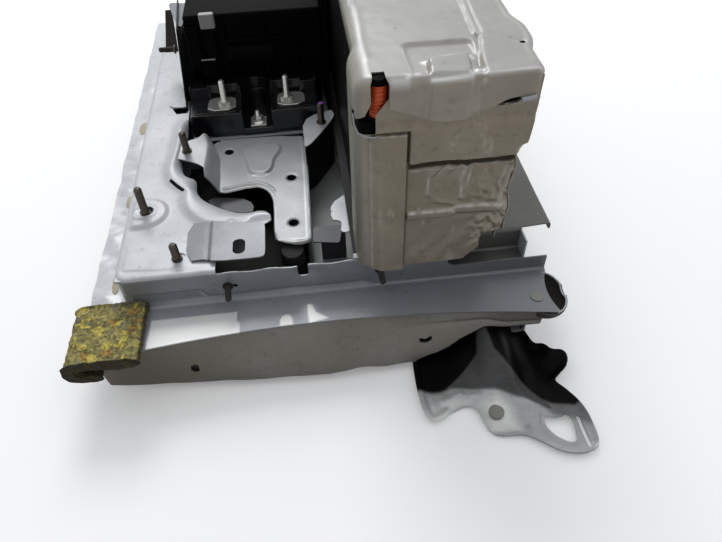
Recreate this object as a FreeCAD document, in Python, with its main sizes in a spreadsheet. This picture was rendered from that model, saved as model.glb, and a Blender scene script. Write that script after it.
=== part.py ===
"""Hybrid car battery pack, one end uncovered: pressed case, tall cell cover, open electronics bay.

X runs to the right, Y to the back, Z up. The origin is on the ground under the middle of the pack.
Every driving size is a cell of the sheet "Sizes"; every piece takes its sizes from those cells.
"""
import FreeCAD, Part
import math
import os
from types import SimpleNamespace

import Sketcher

Vector = FreeCAD.Vector

# name, size in millimetres, what it is
SIZES = [
    ("steel_gauge", 1.5, "sheet of the case and the brackets"),
    ("cover_gauge", 1.2, "sheet of the tall cover"),
    ("leg_gauge", 2.0, "sheet of the mounting leg"),
    ("leg_reach", 402.0, "origin forward to the end of the mounting leg"),
    ("skid_height", 8.0, "ground to the case floor"),
    ("skid_centre", 150.0, "middle of the pack to a skid"),
    ("skid_width", 44.0, "outer width of a skid's trough"),
    ("skid_lip", 9.0, "weld lip each side of a skid"),
    ("skid_front", 215.0, "origin forward to the skids' front end"),
    ("ledge_level", 60.0, "top of ledge and side flange"),
    ("deck_level", 100.0, "top of the deck"),
    ("bridge_level", 80.0, "top of bridge bracket and electronics shelf"),
    ("bay_level", 41.0, "top of the bay pan"),
    ("upstand_level", 76.0, "top of the low right part of the front wall"),
    ("flange_reach", 226.0, "middle to the left flange edge"),
    ("deck_reach", 192.0, "middle to the deck's left wall"),
    ("side_reach", 200.0, "middle to the lower case's side walls"),
    ("plate_reach", 230.0, "middle to the deck's right edge"),
    ("ledge_reach", 223.0, "middle to the ledge's right end"),
    ("deck_front", 224.0, "origin forward to the front wall"),
    ("notch_front", 206.0, "origin forward to the right plate's front edge"),
    ("notch_side", 140.0, "middle to the notch at the right front corner"),
    ("deck_back", 376.0, "origin back to the deck's rear wall"),
    ("case_back", 400.0, "origin back to the rear flange"),
    ("case_front", 262.0, "origin forward to the floor's front edge"),
    ("ledge_front", 283.0, "origin forward to the ledge's corners"),
    ("ledge_scoop", 20.0, "how far the ledge's front edge is hollowed"),
    ("apron_bow", 13.0, "how far the apron's lower edge bows forward"),
    ("apron_foot", 272.0, "origin forward to the ends of the apron's lower edge"),
    ("apron_inset", 22.0, "side flange's edge in to the apron's end"),
    ("apron_rise", 28.0, "how much higher the apron ends over the leg"),
    ("lip_depth", 9.0, "down-turned lip on the deck's right edge"),
    ("bend_radius", 3.0, "outer radius of the deck's bends"),
    ("channel_depth", 17.0, "depth of the closing channel under the ledge"),
    ("mouth_reach", 231.0, "middle to the open mouth of the closing channel"),
    ("mouth_depth", 19.0, "depth of the closing channel at its mouth"),
    ("mouth_front", 284.0, "origin forward to the front of the mouth"),
    ("channel_front", 256.0, "origin forward to the front of the closing channel"),
    ("bay_left", 141.0, "middle to the bay's left edge beside the shelf"),
    ("bay_right", 32.0, "middle to the bay's right edge"),
    ("bay_tongue", 45.0, "middle to the end of the deck's front tongue"),
    ("gap_left", 98.0, "middle to the left end of the gap under the slotted bracket"),
    ("bay_back", 338.0, "origin back to the end of the bay"),
    ("rim_rise", 3.5, "height of the rolled rim round the bay"),
    ("stud_radius", 4.0, "M8 studs"),
    ("small_stud_radius", 3.0, "M6 studs of the brackets and the front wall"),
    ("collar_radius", 6.5, "flat root of an M8 stud"),
    ("collar_height", 1.5, "height of that root"),
    ("deck_collar", 5.2, "flat root of the two deck studs"),
    ("stud_hole", 7.0, "radius of the clearance holes round the deck studs"),
    ("pad_rise", 3.0, "height of the raised pad round the rear deck stud"),
    ("pad_radius", 27.0, "radius of that pad"),
    ("rear_stud_x", 171.7, "rear deck stud, left of the middle"),
    ("rear_stud_y", 131.3, "rear deck stud, forward of the origin"),
    ("rear_stud_height", 33.5, "rear deck stud above the deck"),
    ("front_stud_x", 134.6, "front deck stud, left of the middle"),
    ("front_stud_y", 200.0, "front deck stud, forward of the origin"),
    ("front_stud_height", 18.0, "front deck stud above the deck"),
    ("bracket_stud_height", 25.0, "studs on the bridge tab and the gusset"),
    ("wall_stud_length", 19.0, "studs that stand out of the front wall"),
    ("wall_stud_level", 80.0, "height of the front wall studs"),
    ("left_wall_stud", 89.4, "left front wall stud, left of the middle"),
    ("right_wall_stud", 56.5, "right front wall stud, right of the middle"),
    ("bridge_left", 104.0, "middle to the bridge plate's left bend"),
    ("bridge_right", 6.0, "middle to the bridge plate's right edge"),
    ("bridge_back", 19.7, "origin back to the bridge plate's rear edge"),
    ("bridge_front", 172.0, "origin forward to the bridge plate's front edge"),
    ("bridge_notch_x", 47.0, "middle to the bridge's inner notch"),
    ("bridge_notch_y", 82.0, "origin forward to the bridge's inner notch"),
    ("bridge_hole", 5.5, "radius of the bridge plate's holes"),
    ("tab_width", 34.0, "bridge tab, left to right"),
    ("tab_depth", 55.0, "bridge tab, front to back"),
    ("slotted_level", 104.5, "top of the slotted bracket"),
    ("slotted_left", 127.0, "middle to the slotted bracket's foot"),
    ("slotted_right", 51.0, "middle to the slotted bracket's right end"),
    ("slotted_front", 214.0, "origin forward to the slotted bracket"),
    ("slotted_back", 156.0, "the same, its rear edge"),
    ("gusset_level", 104.0, "top of the gusset's tab"),
    ("stay_level", 92.0, "top of the side stay"),
    ("upright_x", 141.0, "middle to the upright bracket's plate"),
    ("upright_top", 186.0, "top of the upright bracket"),
    ("upright_front", 52.0, "origin back to the upright bracket's front edge"),
    ("upright_back", 205.0, "origin back to the upright bracket's rear edge"),
    ("upright_foot", 172.0, "middle to the outer edge of its foot"),
    ("cover_left", 36.0, "middle to the cover's left wall"),
    ("cover_crease", 44.0, "middle to the cover's front left crease"),
    ("cover_right", 175.0, "middle to the cover's right wall"),
    ("cover_inset", 5.5, "inward step of the right wall low down"),
    ("cover_front", 236.0, "origin forward to the cover's end face"),
    ("cover_back", 372.0, "origin back to the cover's rear wall"),
    ("cover_corner", 214.0, "origin forward to the start of the corner"),
    ("cover_top", 290.0, "top of the cover"),
    ("cover_foot", 95.0, "lower edge of the end face"),
    ("strip_right", 75.5, "middle to the edge of the front return strip"),
    ("strip_top", 243.0, "top of the front return strip"),
    ("window_foot", 240.0, "lower edge of the conduit window"),
    ("step_level", 214.0, "lower edge of the raised upper field"),
    ("step_rise", 3.6, "how far that field stands forward"),
    ("bead_level", 155.0, "middle of the cross bead"),
    ("bead_rise", 2.5, "how far the cross bead stands forward"),
    ("skirt_depth", 27.0, "side skirts of the cover top"),
    ("saddle_left", 90.0, "middle to the saddle's left side"),
    ("saddle_right", 124.0, "middle to the saddle's right side"),
    ("saddle_length", 27.0, "saddle, from the front edge back"),
    ("saddle_rise", 2.5, "height of the saddle"),
    ("ear_reach", 8.0, "how far the round ear stands out of the cover"),
    ("ear_radius", 36.0, "radius of the ear"),
    ("ear_y", 178.0, "origin forward to the ear's middle"),
    ("shelf_left", 138.0, "middle to the electronics shelf's left wall"),
    ("shelf_right", 29.0, "middle to the shelf's right wall"),
    ("shelf_back", 335.0, "origin back to the shelf's rear end"),
    ("block_left", 136.0, "middle to the terminal block's left side"),
    ("block_right", 17.0, "middle to the terminal block's right side"),
    ("block_front", 24.0, "origin back to the terminal block"),
    ("block_step", 60.0, "origin back to the block's rear step"),
    ("block_back", 84.0, "origin back to the block's rear side"),
    ("block_level", 111.0, "top of the block's front step"),
    ("block_top", 127.0, "top of the block's rear step"),
    ("earth_floor", 90.0, "floor of the earth slot"),
    ("earth_x", 57.5, "earth stud, left of the middle"),
    ("earth_y", 36.0, "earth stud, behind the origin"),
    ("slot_radius", 17.5, "half width of the earth slot"),
    ("minus_x", 95.5, "left terminal, left of the middle"),
    ("plus_x", 20.2, "right terminal, left of the middle"),
    ("terminal_y", 47.0, "terminals, behind the origin"),
    ("terminal_radius", 3.0, "M6 terminal studs"),
    ("terminal_height", 29.0, "terminal studs above their plates"),
    ("plate_gauge", 2.0, "copper terminal plates"),
    ("housing_left", 128.0, "middle to the junction housing's left side"),
    ("housing_right", 30.0, "middle to its right side"),
    ("housing_front", 74.0, "origin back to its front"),
    ("housing_back", 330.0, "origin back to its rear"),
    ("housing_top", 200.0, "parting line of housing and lid"),
    ("housing_round", 14.0, "radius of the housing's edges"),
    ("lid_height", 9.0, "height of the housing's lid"),
    ("conduit_radius", 6.0, "outer radius of the orange conduit"),
    ("conduit_x", 55.0, "middle to the conduit"),
    ("conduit_y", 226.0, "origin forward to the conduit"),
    ("conduit_plug_height", 16.0, "black plug under the conduit"),
    ("conduit_bend", 34.0, "run of the conduit back from its corner"),
    ("window_right", 56.0, "middle to the right edge of the conduit window"),
    ("cell_width", 114.0, "one cell, left to right"),
    ("cell_height", 76.0, "one cell, up and down"),
    ("cell_pitch", 13.5, "one cell to the next"),
    ("cell_gap", 0.3, "liner between two cells"),
    ("cell_count", 36.0, "cells in a tier"),
    ("stack_front", 165.0, "origin forward to the first cell"),
    ("stack_centre", 103.0, "middle of the pack to the middle of the cells"),
    ("tray_gauge", 3.0, "tray under each tier and carrier above it"),
    ("end_plate_gauge", 8.0, "end plates of the stack"),
    ("bus_gauge", 2.0, "bus bars"),
    ("rod_radius", 4.0, "tie rods of the stack"),
    ("seal_wrap", 11.0, "corner seal's rounded bend, out past the flange"),
    ("seal_width", 69.0, "corner seal, left to right"),
    ("seal_front", 11.0, "corner seal's front, forward of the ledge's corners"),
    ("seal_layer", 11.0, "upper layer of the seal"),
    ("seal_slot", 7.0, "slot between the seal's two layers"),
    ("plug_radius", 6.0, "flush plugs in ledge and leg"),
    ("plug_height", 1.0, "flush plugs above the sheet"),
]


class Size:
    """A length that keeps the sheet formula it comes from, so that a property can be bound to it."""

    def __init__(self, number, formula):
        self.number = float(number)
        self.formula = formula

    def __float__(self):
        return self.number

    def __neg__(self):
        return Size(-self.number, f"(0 - {self.formula})")

    def __add__(self, other):
        return Size(self.number + float(other), f"({self.formula} + {formula_of(other)})")

    def __radd__(self, other):
        return self + other

    def __sub__(self, other):
        return Size(self.number - float(other), f"({self.formula} - {formula_of(other)})")

    def __rsub__(self, other):
        return -self + other

    def __mul__(self, factor):
        return Size(self.number * float(factor), f"({self.formula} * {formula_of(factor)})")

    def __rmul__(self, factor):
        return self * factor

    def __truediv__(self, other):
        return Size(self.number / float(other), f"({self.formula} / {formula_of(other)})")


def formula_of(length):
    """the formula of a Size, or a plain number as text"""
    return length.formula if isinstance(length, Size) else f"{float(length):.6f}"


def fill_sheet(document):
    """write every size into the sheet and return them by name"""
    sheet = document.addObject("Spreadsheet::Sheet", "Sizes")
    named = {}
    for row, (name, number, note) in enumerate(SIZES, 1):
        sheet.set(f"A{row}", name)
        sheet.set(f"B{row}", str(number))
        sheet.set(f"C{row}", note)
        sheet.setAlias(f"B{row}", name)
        named[name] = Size(number, f"Sizes.{name}")
    document.recompute()
    return SimpleNamespace(**named)


doc = FreeCAD.newDocument("battery_pack")
S = fill_sheet(doc)
pieces = []


def keep(piece, label):
    """give a finished piece its name and list it for export"""
    piece.Label = label
    pieces.append(piece)
    return piece


def bind(thing, prop, length):
    """tie a property to the sheet"""
    thing.setExpression(prop, formula_of(length))


def new_body(label):
    return keep(doc.addObject("PartDesign::Body", label), label)


# A view names the plane of an outline: its two axes and the way a pad grows from it.
VIEWS = {
    "top": ("XY_Plane", 1),
    "front": ("XZ_Plane", -1),
    "side": ("YZ_Plane", 1),
}


def outline_on(body, view, level, path=(), rings=(), slots=()):
    """a sketch at a level of a view, holding a closed path, circles and slots"""
    role, sign = VIEWS[view]
    sketch = body.newObject("Sketcher::SketchObject", "Outline")
    plane = [feature for feature in body.Origin.OriginFeatures if feature.Role == role][0]
    sketch.AttachmentSupport = [(plane, "")]
    sketch.MapMode = "FlatFace"
    bind(sketch, "AttachmentOffset.Base.z", level * sign)
    if path:
        draw_path(sketch, path)
    for ring in rings:
        draw_ring(sketch, *ring)
    for slot in slots:
        draw_slot(sketch, *slot)
    return sketch


def flat(point):
    return Vector(float(point[0]), float(point[1]), 0)


def pin(sketch, element, place, point):
    """hold one point of a sketch by its two distances from the origin"""
    for kind, distance in (("DistanceX", point[0]), ("DistanceY", point[1])):
        index = sketch.addConstraint(
            Sketcher.Constraint(kind, -1, 1, element, place, float(distance)))
        sketch.setExpression(f"Constraints[{index}]", formula_of(distance))


def draw_path(sketch, path):
    """a closed path of straight lines through the points"""
    first = sketch.GeometryCount
    last = len(path) - 1
    for index, point in enumerate(path):
        following = path[(index + 1) % len(path)]
        sketch.addGeometry(Part.LineSegment(flat(point), flat(following)), False)
    for index in range(len(path)):
        following = 0 if index == last else index + 1
        sketch.addConstraint(
            Sketcher.Constraint("Coincident", first + index, 2, first + following, 1))
    for index, point in enumerate(path):
        pin(sketch, first + index, 1, point)


def draw_ring(sketch, x, y, radius):
    """a circle"""
    element = sketch.addGeometry(
        Part.Circle(flat((x, y)), Vector(0, 0, 1), float(radius)), False)
    pin(sketch, element, 3, (x, y))
    index = sketch.addConstraint(Sketcher.Constraint("Radius", element, float(radius)))
    sketch.setExpression(f"Constraints[{index}]", formula_of(radius))


def draw_slot(sketch, x, y, length, radius):
    """a round-ended slot, long way up the sketch"""
    reach = length / 2 - radius
    low, high = y - reach, y + reach
    near, far, bend = float(x) - float(radius), float(x) + float(radius), float(radius)
    up = Vector(0, 0, 1)
    lower = sketch.addGeometry(Part.ArcOfCircle(
        Part.Circle(flat((x, low)), up, bend), math.pi, 2 * math.pi), False)
    right = sketch.addGeometry(Part.LineSegment(
        Vector(far, float(low), 0), Vector(far, float(high), 0)), False)
    upper = sketch.addGeometry(Part.ArcOfCircle(
        Part.Circle(flat((x, high)), up, bend), 0, math.pi), False)
    left = sketch.addGeometry(Part.LineSegment(
        Vector(near, float(high), 0), Vector(near, float(low), 0)), False)
    for element, following in ((lower, right), (right, upper), (upper, left), (left, lower)):
        sketch.addConstraint(Sketcher.Constraint("Tangent", element, 2, following, 1))
    pin(sketch, lower, 3, (x, low))
    pin(sketch, upper, 3, (x, high))
    index = sketch.addConstraint(Sketcher.Constraint("Radius", lower, bend))
    sketch.setExpression(f"Constraints[{index}]", formula_of(radius))


def pad(body, view, level, length, path=(), rings=(), slots=()):
    """add material: up from a top view, forward from a front view, rightward from a side view"""
    sketch = outline_on(body, view, level, path, rings, slots)
    feature = body.newObject("PartDesign::Pad", "Pad")
    feature.Profile = sketch
    bind(feature, "Length", length)
    return feature


def cut(body, view, level, depth, path=(), rings=(), slots=()):
    """take material away: down from a top view, backward from a front view, leftward from a side"""
    sketch = outline_on(body, view, level, path, rings, slots)
    feature = body.newObject("PartDesign::Pocket", "Pocket")
    feature.Profile = sketch
    bind(feature, "Length", depth)
    return feature


def round_edges(body, radius, wanted):
    """round the edges of the body that the test wants; the test gets an edge's two ends"""
    doc.recompute()
    base = body.Tip
    names = []
    for index, edge in enumerate(base.Shape.Edges, 1):
        if len(edge.Vertexes) == 2 and wanted(edge.Vertexes[0].Point, edge.Vertexes[1].Point):
            names.append(f"Edge{index}")
    feature = body.newObject("PartDesign::Fillet", "Fillet")
    feature.Base = (base, names)
    bind(feature, "Radius", radius)
    return feature


def close_to(value, wanted):
    return abs(value - float(wanted)) < 0.01


def rectangle(left, right, low, high):
    return [(left, low), (right, low), (right, high), (left, high)]


def block(name, across, along, height):
    """a box between two X, two Y and two Z values"""
    box = doc.addObject("Part::Box", name)
    for prop, axis, (low, high) in (("Length", "x", across), ("Width", "y", along),
                                    ("Height", "z", height)):
        bind(box, prop, high - low)
        bind(box, f"Placement.Base.{axis}", low)
    return box


TURNS = {
    "up": FreeCAD.Rotation(),
    "forward": FreeCAD.Rotation(Vector(1, 0, 0), 90),
    "back": FreeCAD.Rotation(Vector(1, 0, 0), -90),
    "left": FreeCAD.Rotation(Vector(0, 1, 0), -90),
}


def place(thing, root, way):
    """stand a thing on its root point, its own axis turned the given way"""
    thing.Placement = FreeCAD.Placement(Vector(), TURNS[way])
    for axis, value in zip("xyz", root):
        bind(thing, f"Placement.Base.{axis}", value)


def rod(name, root, way, radius, length):
    """a cylinder"""
    cylinder = doc.addObject("Part::Cylinder", name)
    bind(cylinder, "Radius", radius)
    bind(cylinder, "Height", length)
    place(cylinder, root, way)
    return cylinder


def shifted(root, way, distance):
    """a point moved along a way"""
    x, y, z = root
    return {"up": (x, y, z + distance), "forward": (x, y - distance, z),
            "back": (x, y + distance, z), "left": (x - distance, y, z)}[way]


def stud(name, root, way, radius, length, collar_radius, collar_height):
    """a threaded stud: flat welded root, shank and pointed tip"""
    tip_length = radius / 2
    collar = rod(name + "_root", root, way, collar_radius, collar_height)
    shank = rod(name + "_shank", shifted(root, way, collar_height), way, radius,
                length - collar_height - tip_length)
    tip = doc.addObject("Part::Cone", name + "_tip")
    bind(tip, "Radius1", radius)
    bind(tip, "Radius2", radius * 0.6)
    bind(tip, "Height", tip_length)
    place(tip, shifted(root, way, length - tip_length), way)
    return fuse(name, [collar, shank, tip])


def fuse(name, parts):
    union = doc.addObject("Part::MultiFuse", name)
    union.Shapes = parts
    return union


def gather(label, parts):
    """several separate solids kept as one node"""
    group = doc.addObject("Part::Compound", label)
    group.Links = parts
    return keep(group, label)


def finished(label, shape):
    """a piece whose shape is worked out directly from the sizes"""
    feature = doc.addObject("Part::Feature", label)
    feature.Shape = shape
    return keep(feature, label)


def make_lower_case():
    """folded floor with two side walls and a rear wall, and stiffening beads pressed in the floor"""
    body = new_body("lower_case")
    gauge, reach = S.steel_gauge, S.side_reach
    floor = S.skid_height
    left_top, right_top = S.ledge_level - gauge, S.deck_level - gauge
    back = (S.deck_back + S.case_back) / 2
    profile = [(-reach, left_top), (-reach, floor), (reach, floor), (reach, right_top),
               (reach - gauge, right_top), (reach - gauge, floor + gauge),
               (gauge - reach, floor + gauge), (gauge - reach, left_top)]
    pad(body, "front", back, back + S.case_front, profile)
    pad(body, "front", back, gauge, rectangle(-reach, reach, floor, left_top))
    front_wall, rear_wall = gauge - S.deck_front, S.deck_back - gauge
    cut(body, "side", reach + 1, gauge + 2,
        [(-S.case_front - 1, left_top - S.mouth_depth), (front_wall, left_top - S.mouth_depth),
         (front_wall, right_top + 1), (-S.case_front - 1, right_top + 1)])
    cut(body, "side", reach + 1, gauge + 2,
        rectangle(rear_wall, back + 1, left_top, right_top + 1))
    for row in range(7):
        middle = S.deck_back * (0.2 * row - 0.5)
        pad(body, "top", floor + gauge, gauge,
            rectangle(18 - S.skid_centre, -S.bay_right, middle - 10, middle + 10))
    round_edges(body, S.bend_radius, lambda a, b: close_to(a.z, floor) and close_to(b.z, floor)
                and close_to(abs(a.x), reach) and close_to(abs(b.x), reach)
                and abs(a.y - b.y) > 100)


def make_skids():
    """two trough-shaped rails that the pack stands on"""
    gauge, half = S.steel_gauge, S.skid_width / 2
    for label, middle in (("skid_left", -S.skid_centre), ("skid_right", S.skid_centre)):
        body = new_body(label)
        top = S.skid_height
        profile = [
            (middle - half - S.skid_lip, top - gauge), (middle - half, top - gauge),
            (middle - half, 0), (middle + half, 0),
            (middle + half, top - gauge), (middle + half + S.skid_lip, top - gauge),
            (middle + half + S.skid_lip, top), (middle + half - gauge, top),
            (middle + half - gauge, gauge), (middle - half + gauge, gauge),
            (middle - half + gauge, top), (middle - half - S.skid_lip, top)]
        pad(body, "front", S.deck_back, S.deck_back + S.skid_front, profile)


def bay_outline():
    """the bay's edge in the deck: straight beside the shelf, wavy at the left front, and in front
    of its tongue the gap that the slotted bracket spans"""
    left, right, front = -S.bay_left, S.bay_right, S.steel_gauge - S.deck_front
    tongue, gap = -S.bay_tongue, -S.gap_left
    return [(right, front), (right, S.bay_back), (left, S.bay_back), (left, -20),
            (left - 7, -42), (left - 10, -58), (left - 7, -74),
            (left + 4, -88), (left + 10, -104), (left + 12, -116),
            (left + 18, -129), (left + 31, -142), (left + 57, -153),
            (tongue - 24, -153), (tongue - 8, -149), (tongue, -157),
            (tongue, -166), (gap, -168), (gap, front)]


def make_upper_deck():
    """one pressing: deck, left wall and flange, front wall, ledge, rear wall and rear flange"""
    body = new_body("upper_deck")
    gauge = S.steel_gauge
    left, inner = -S.deck_reach, gauge - S.deck_reach
    under_deck, under_ledge = S.deck_level - gauge, S.ledge_level - gauge
    front = -S.deck_front
    folded = [(-S.flange_reach, under_ledge), (inner, under_ledge), (inner, under_deck),
              (S.plate_reach, under_deck), (S.plate_reach, S.deck_level),
              (left, S.deck_level), (left, S.ledge_level), (-S.flange_reach, S.ledge_level)]
    pad(body, "front", S.deck_back, S.deck_back + S.deck_front, folded)
    low_from = S.right_wall_stud * 2
    front_wall = [(left, under_ledge), (S.ledge_reach, under_ledge),
                  (S.ledge_reach, S.upstand_level), (low_from, S.upstand_level),
                  (low_from - 8, S.deck_level), (left, S.deck_level)]
    pad(body, "front", front + gauge, gauge, front_wall)
    pad(body, "top", under_ledge, gauge,
        rectangle(-S.flange_reach, S.ledge_reach, -S.ledge_front, front + gauge))
    pad(body, "front", S.deck_back, gauge,
        rectangle(left, S.side_reach, under_ledge, S.deck_level))
    pad(body, "top", under_ledge, gauge,
        rectangle(-S.flange_reach, S.side_reach, S.deck_back - gauge, S.case_back))
    pad(body, "front", S.deck_back, S.deck_back + S.notch_front,
        rectangle(S.plate_reach - gauge, S.plate_reach, S.deck_level - S.lip_depth, S.deck_level))
    round_edges(body, S.bend_radius, lambda a, b: close_to(a.z, S.deck_level)
                and close_to(b.z, S.deck_level)
                and ((close_to(a.x, left) and close_to(b.x, left))
                     or (close_to(a.y, front) and close_to(b.y, front))))
    cut(body, "top", S.deck_level + 1, gauge + 3,
        rectangle(S.notch_side, S.plate_reach + 5, front - 1, -S.notch_front))
    step, step_right = S.upstand_level - gauge, S.side_reach - gauge
    pad(body, "front", gauge - S.notch_front, gauge,
        rectangle(S.notch_side, step_right, step, S.deck_level - gauge / 2))
    pad(body, "top", step, gauge,
        rectangle(S.notch_side, step_right, front + gauge / 2, -S.notch_front + gauge / 2))
    half = (S.flange_reach + S.ledge_reach) / 2
    middle = (S.ledge_reach - S.flange_reach) / 2
    curve = (half * half + S.ledge_scoop * S.ledge_scoop) / (S.ledge_scoop * 2)
    cut(body, "top", S.ledge_level + 1, gauge + 3,
        rings=[(middle, S.ledge_scoop - S.ledge_front - curve, curve)])
    mouth_half = (S.ledge_front - S.deck_front) / 2
    bite = S.bend_radius * 2
    mouth_curve = (mouth_half * mouth_half + bite * bite) / (bite * 2)
    cut(body, "top", S.ledge_level + 1, gauge + 3,
        rings=[(S.ledge_reach - bite + mouth_curve, front - mouth_half, mouth_curve)])
    pad(body, "top", S.deck_level, S.pad_rise,
        rings=[(-S.rear_stud_x + 12, -S.rear_stud_y, S.pad_radius)])
    cut(body, "top", S.deck_level + S.pad_rise + 1, gauge + S.pad_rise + 3,
        rings=[(-S.rear_stud_x + 1.5, -S.rear_stud_y, S.stud_hole),
               (-S.front_stud_x + 1.5, -S.front_stud_y, S.stud_hole)])
    cut(body, "top", S.deck_level + S.pad_rise + 1, gauge + S.pad_rise + 3, bay_outline())


def bowed_line(half, end_y, bow, level):
    """points across X at a level, on an arc whose middle lies bow behind its ends"""
    count = 12
    steps = [2 * number / count - 1 for number in range(count + 1)]
    return [Vector(half * step, end_y + bow * (1 - step * step), level) for step in steps]


def faceted_sheet(outer, inner):
    """a closed sheet of flat facets between two equal grids of points: its face and its back"""
    facets = []

    def facet(*corners):
        facets.append(Part.Face(Part.makePolygon(corners + corners[:1])))

    rows, columns = len(outer), len(outer[0])
    for grid in (outer, inner):
        for row in range(rows - 1):
            for column in range(columns - 1):
                a, b = grid[row][column], grid[row][column + 1]
                c, d = grid[row + 1][column + 1], grid[row + 1][column]
                facet(a, b, c)
                facet(a, c, d)
    rim = [(row, 0) for row in range(rows)] + [(rows - 1, column) for column in range(1, columns)]
    rim += [(row, columns - 1) for row in reversed(range(rows - 1))]
    rim += [(0, column) for column in reversed(range(1, columns - 1))]
    for (r, c), (next_r, next_c) in zip(rim, rim[1:] + rim[:1]):
        facet(outer[r][c], outer[next_r][next_c], inner[next_r][next_c])
        facet(outer[r][c], inner[next_r][next_c], inner[r][c])
    shell = Part.Shell(facets)
    shell.sewShape()
    solid = Part.Solid(shell)
    if solid.Volume < 0:
        solid.reverse()
    return solid


def make_apron():
    """front panel from the hollow ledge edge to its bowed foot, with a floor return"""
    gauge = S.steel_gauge.number
    foot, top = float(S.skid_height), float(S.ledge_level) - gauge
    half = float(S.flange_reach - S.apron_inset)
    scoop = float(S.ledge_scoop) - 2
    edges = [(-float(S.apron_foot), -float(S.apron_bow), foot),
             (2 * gauge - float(S.ledge_front), scoop, top)]
    panel = faceted_sheet([bowed_line(half, *line) for line in edges],
                          [bowed_line(half, y + gauge, bow, level) for y, bow, level in edges])
    edge = bowed_line(half, -float(S.apron_foot) + gauge / 2, -float(S.apron_bow), foot)
    edge += [Vector(x, -float(S.case_front), foot) for x in (half, -half)]
    floor_return = Part.Face(Part.makePolygon(edge + edge[:1])).extrude(Vector(0, 0, gauge))
    rise, start, run = float(S.apron_rise), float(S.skid_centre) * 0.73, float(S.skid_width) / 2
    low = [Vector(start, -400, foot - 1), Vector(start, -400, foot),
           Vector(start + run, -400, foot + rise), Vector(half + 5, -400, foot + rise),
           Vector(half + 5, -400, foot - 1)]
    window = Part.Face(Part.makePolygon(low + low[:1])).extrude(Vector(0, 200, 0))
    vent = Part.makeCylinder(3.5, 60, Vector(-float(S.bay_left), -320, foot + 20),
                             Vector(0, 1, 0))
    finished("front_apron", panel.fuse(floor_return).cut(window).cut(vent).removeSplitter())


def trough(x, back, front, top, depth, gauge):
    """an open trough's thin section in a plane across X: straight back, round front corners"""
    drop = top - depth
    corner = depth * 0.35
    outer = [(back, top), (back, drop + corner), (back - corner, drop), (front + corner, drop),
             (front, drop + corner), (front, top)]
    inner = [(front + gauge, top), (front + gauge, drop + corner + gauge / 2),
             (front + corner + gauge / 2, drop + gauge), (back - corner - gauge / 2, drop + gauge),
             (back - gauge, drop + corner + gauge / 2), (back - gauge, top)]
    points = [Vector(x, y, z) for y, z in outer + inner]
    return Part.makePolygon(points + points[:1])


def make_closing_channel():
    """channel that closes the ledge from below, flared to an open mouth at its right end"""
    gauge, top = float(S.steel_gauge), float(S.ledge_level) - float(S.steel_gauge)
    back = -float(S.deck_front) - gauge
    narrow = (back, -float(S.channel_front), top, float(S.channel_depth), gauge)
    wide = (back, -float(S.mouth_front), top, float(S.mouth_depth), gauge)
    left, neck = -float(S.deck_reach), float(S.deck_reach) - 10
    straight = Part.makeLoft([trough(left, *narrow), trough(neck, *narrow)], True, True)
    flare = Part.makeLoft([trough(neck, *narrow), trough(float(S.mouth_reach), *wide)], True, True)
    finished("closing_channel", straight.fuse(flare).removeSplitter())


def upright_prism(edge, scale, height):
    """a block that stands on the ground over a closed outline"""
    points = [Vector(x * scale, y * scale, 0) for x, y in edge]
    return Part.Face(Part.makePolygon(points + points[:1])).extrude(Vector(0, 0, height))


def make_mount_leg():
    """stamped leg: flat foot with an eye and a round plug, rising in one broad ridge to the case"""
    gauge, flush = float(S.leg_gauge), float(S.skid_height)
    scale = float(S.leg_reach) / 402
    crown = float(S.ledge_level) - float(S.steel_gauge) - float(S.channel_depth)
    across = (72, 100, 120, 140, 158, 176, 194, 212, 240)
    rows = [(-402, (2, 2, 2, 2, 2, 2, 2, 2, 2)),
            (-372, (4, 2, 2, 2, 2, 3, 4, 3, 2)),
            (-340, (6, 2, 3, 7, 12, 9, 5, 5, 8)),
            (-312, (5, 3, 4, 12, 24, 17, 5, 10, 22)),
            (-290, (5, 3, 6, 17, 32, 21, 6, 13, 28)),
            (-276, (6, 4, 7, 19, 35, 23, 7, 12, 22)),
            (-256, (flush, flush, 9, 22, crown, crown - 12, 9, 12, 12)),
            (-236, (flush, flush, 9, 22, crown, crown - 12, 9, 12, 12))]
    face = [[Vector(x * scale, y * scale, z) for x, z in zip(across, heights)]
            for y, heights in rows]
    back = [[point - Vector(0, 0, gauge) for point in row] for row in face]
    sheet = faceted_sheet(face, back)
    edge = [(84, -238), (80, -290), (80, -335), (88, -349), (104, -344), (122, -337), (132, -342),
            (137, -363), (147, -371), (166, -373), (180, -381), (196, -393), (217, -397),
            (230, -391), (232, -376), (231, -356), (221, -337), (211, -323), (218, -316),
            (228, -309), (228, -295), (219, -287), (212, -272), (206, -264), (186, -263),
            (176, -240), (150, -239), (141, -262), (116, -263), (110, -240)]
    outline = upright_prism(edge, scale, crown)
    above_floor = Part.makeBox(60, 80, 60, Vector(60, -285, flush))
    eye = [(190, -358), (203, -360), (211, -358), (213, -370), (211, -385), (200, -381), (190, -370)]
    hole = upright_prism(eye, scale, crown)
    finished("front_mount_leg", sheet.common(outline).cut(hole).cut(above_floor))


def make_stud_plate():
    """thick plate spot-welded under the deck; the deck studs stand on it"""
    body = new_body("stud_plate")
    top, gauge = S.deck_level - S.steel_gauge, S.steel_gauge * 1.5
    left, right = -S.deck_reach + S.steel_gauge, -S.bay_left - 11
    front, foot = S.steel_gauge - S.deck_front, -S.front_stud_x + 16
    pad(body, "top", top - gauge, gauge,
        [(left, front), (foot, front), (foot, -S.front_stud_y + 18), (right, -S.front_stud_y + 40),
         (right, -S.rear_stud_y + 100), (left, -S.rear_stud_y + 100)])


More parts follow.
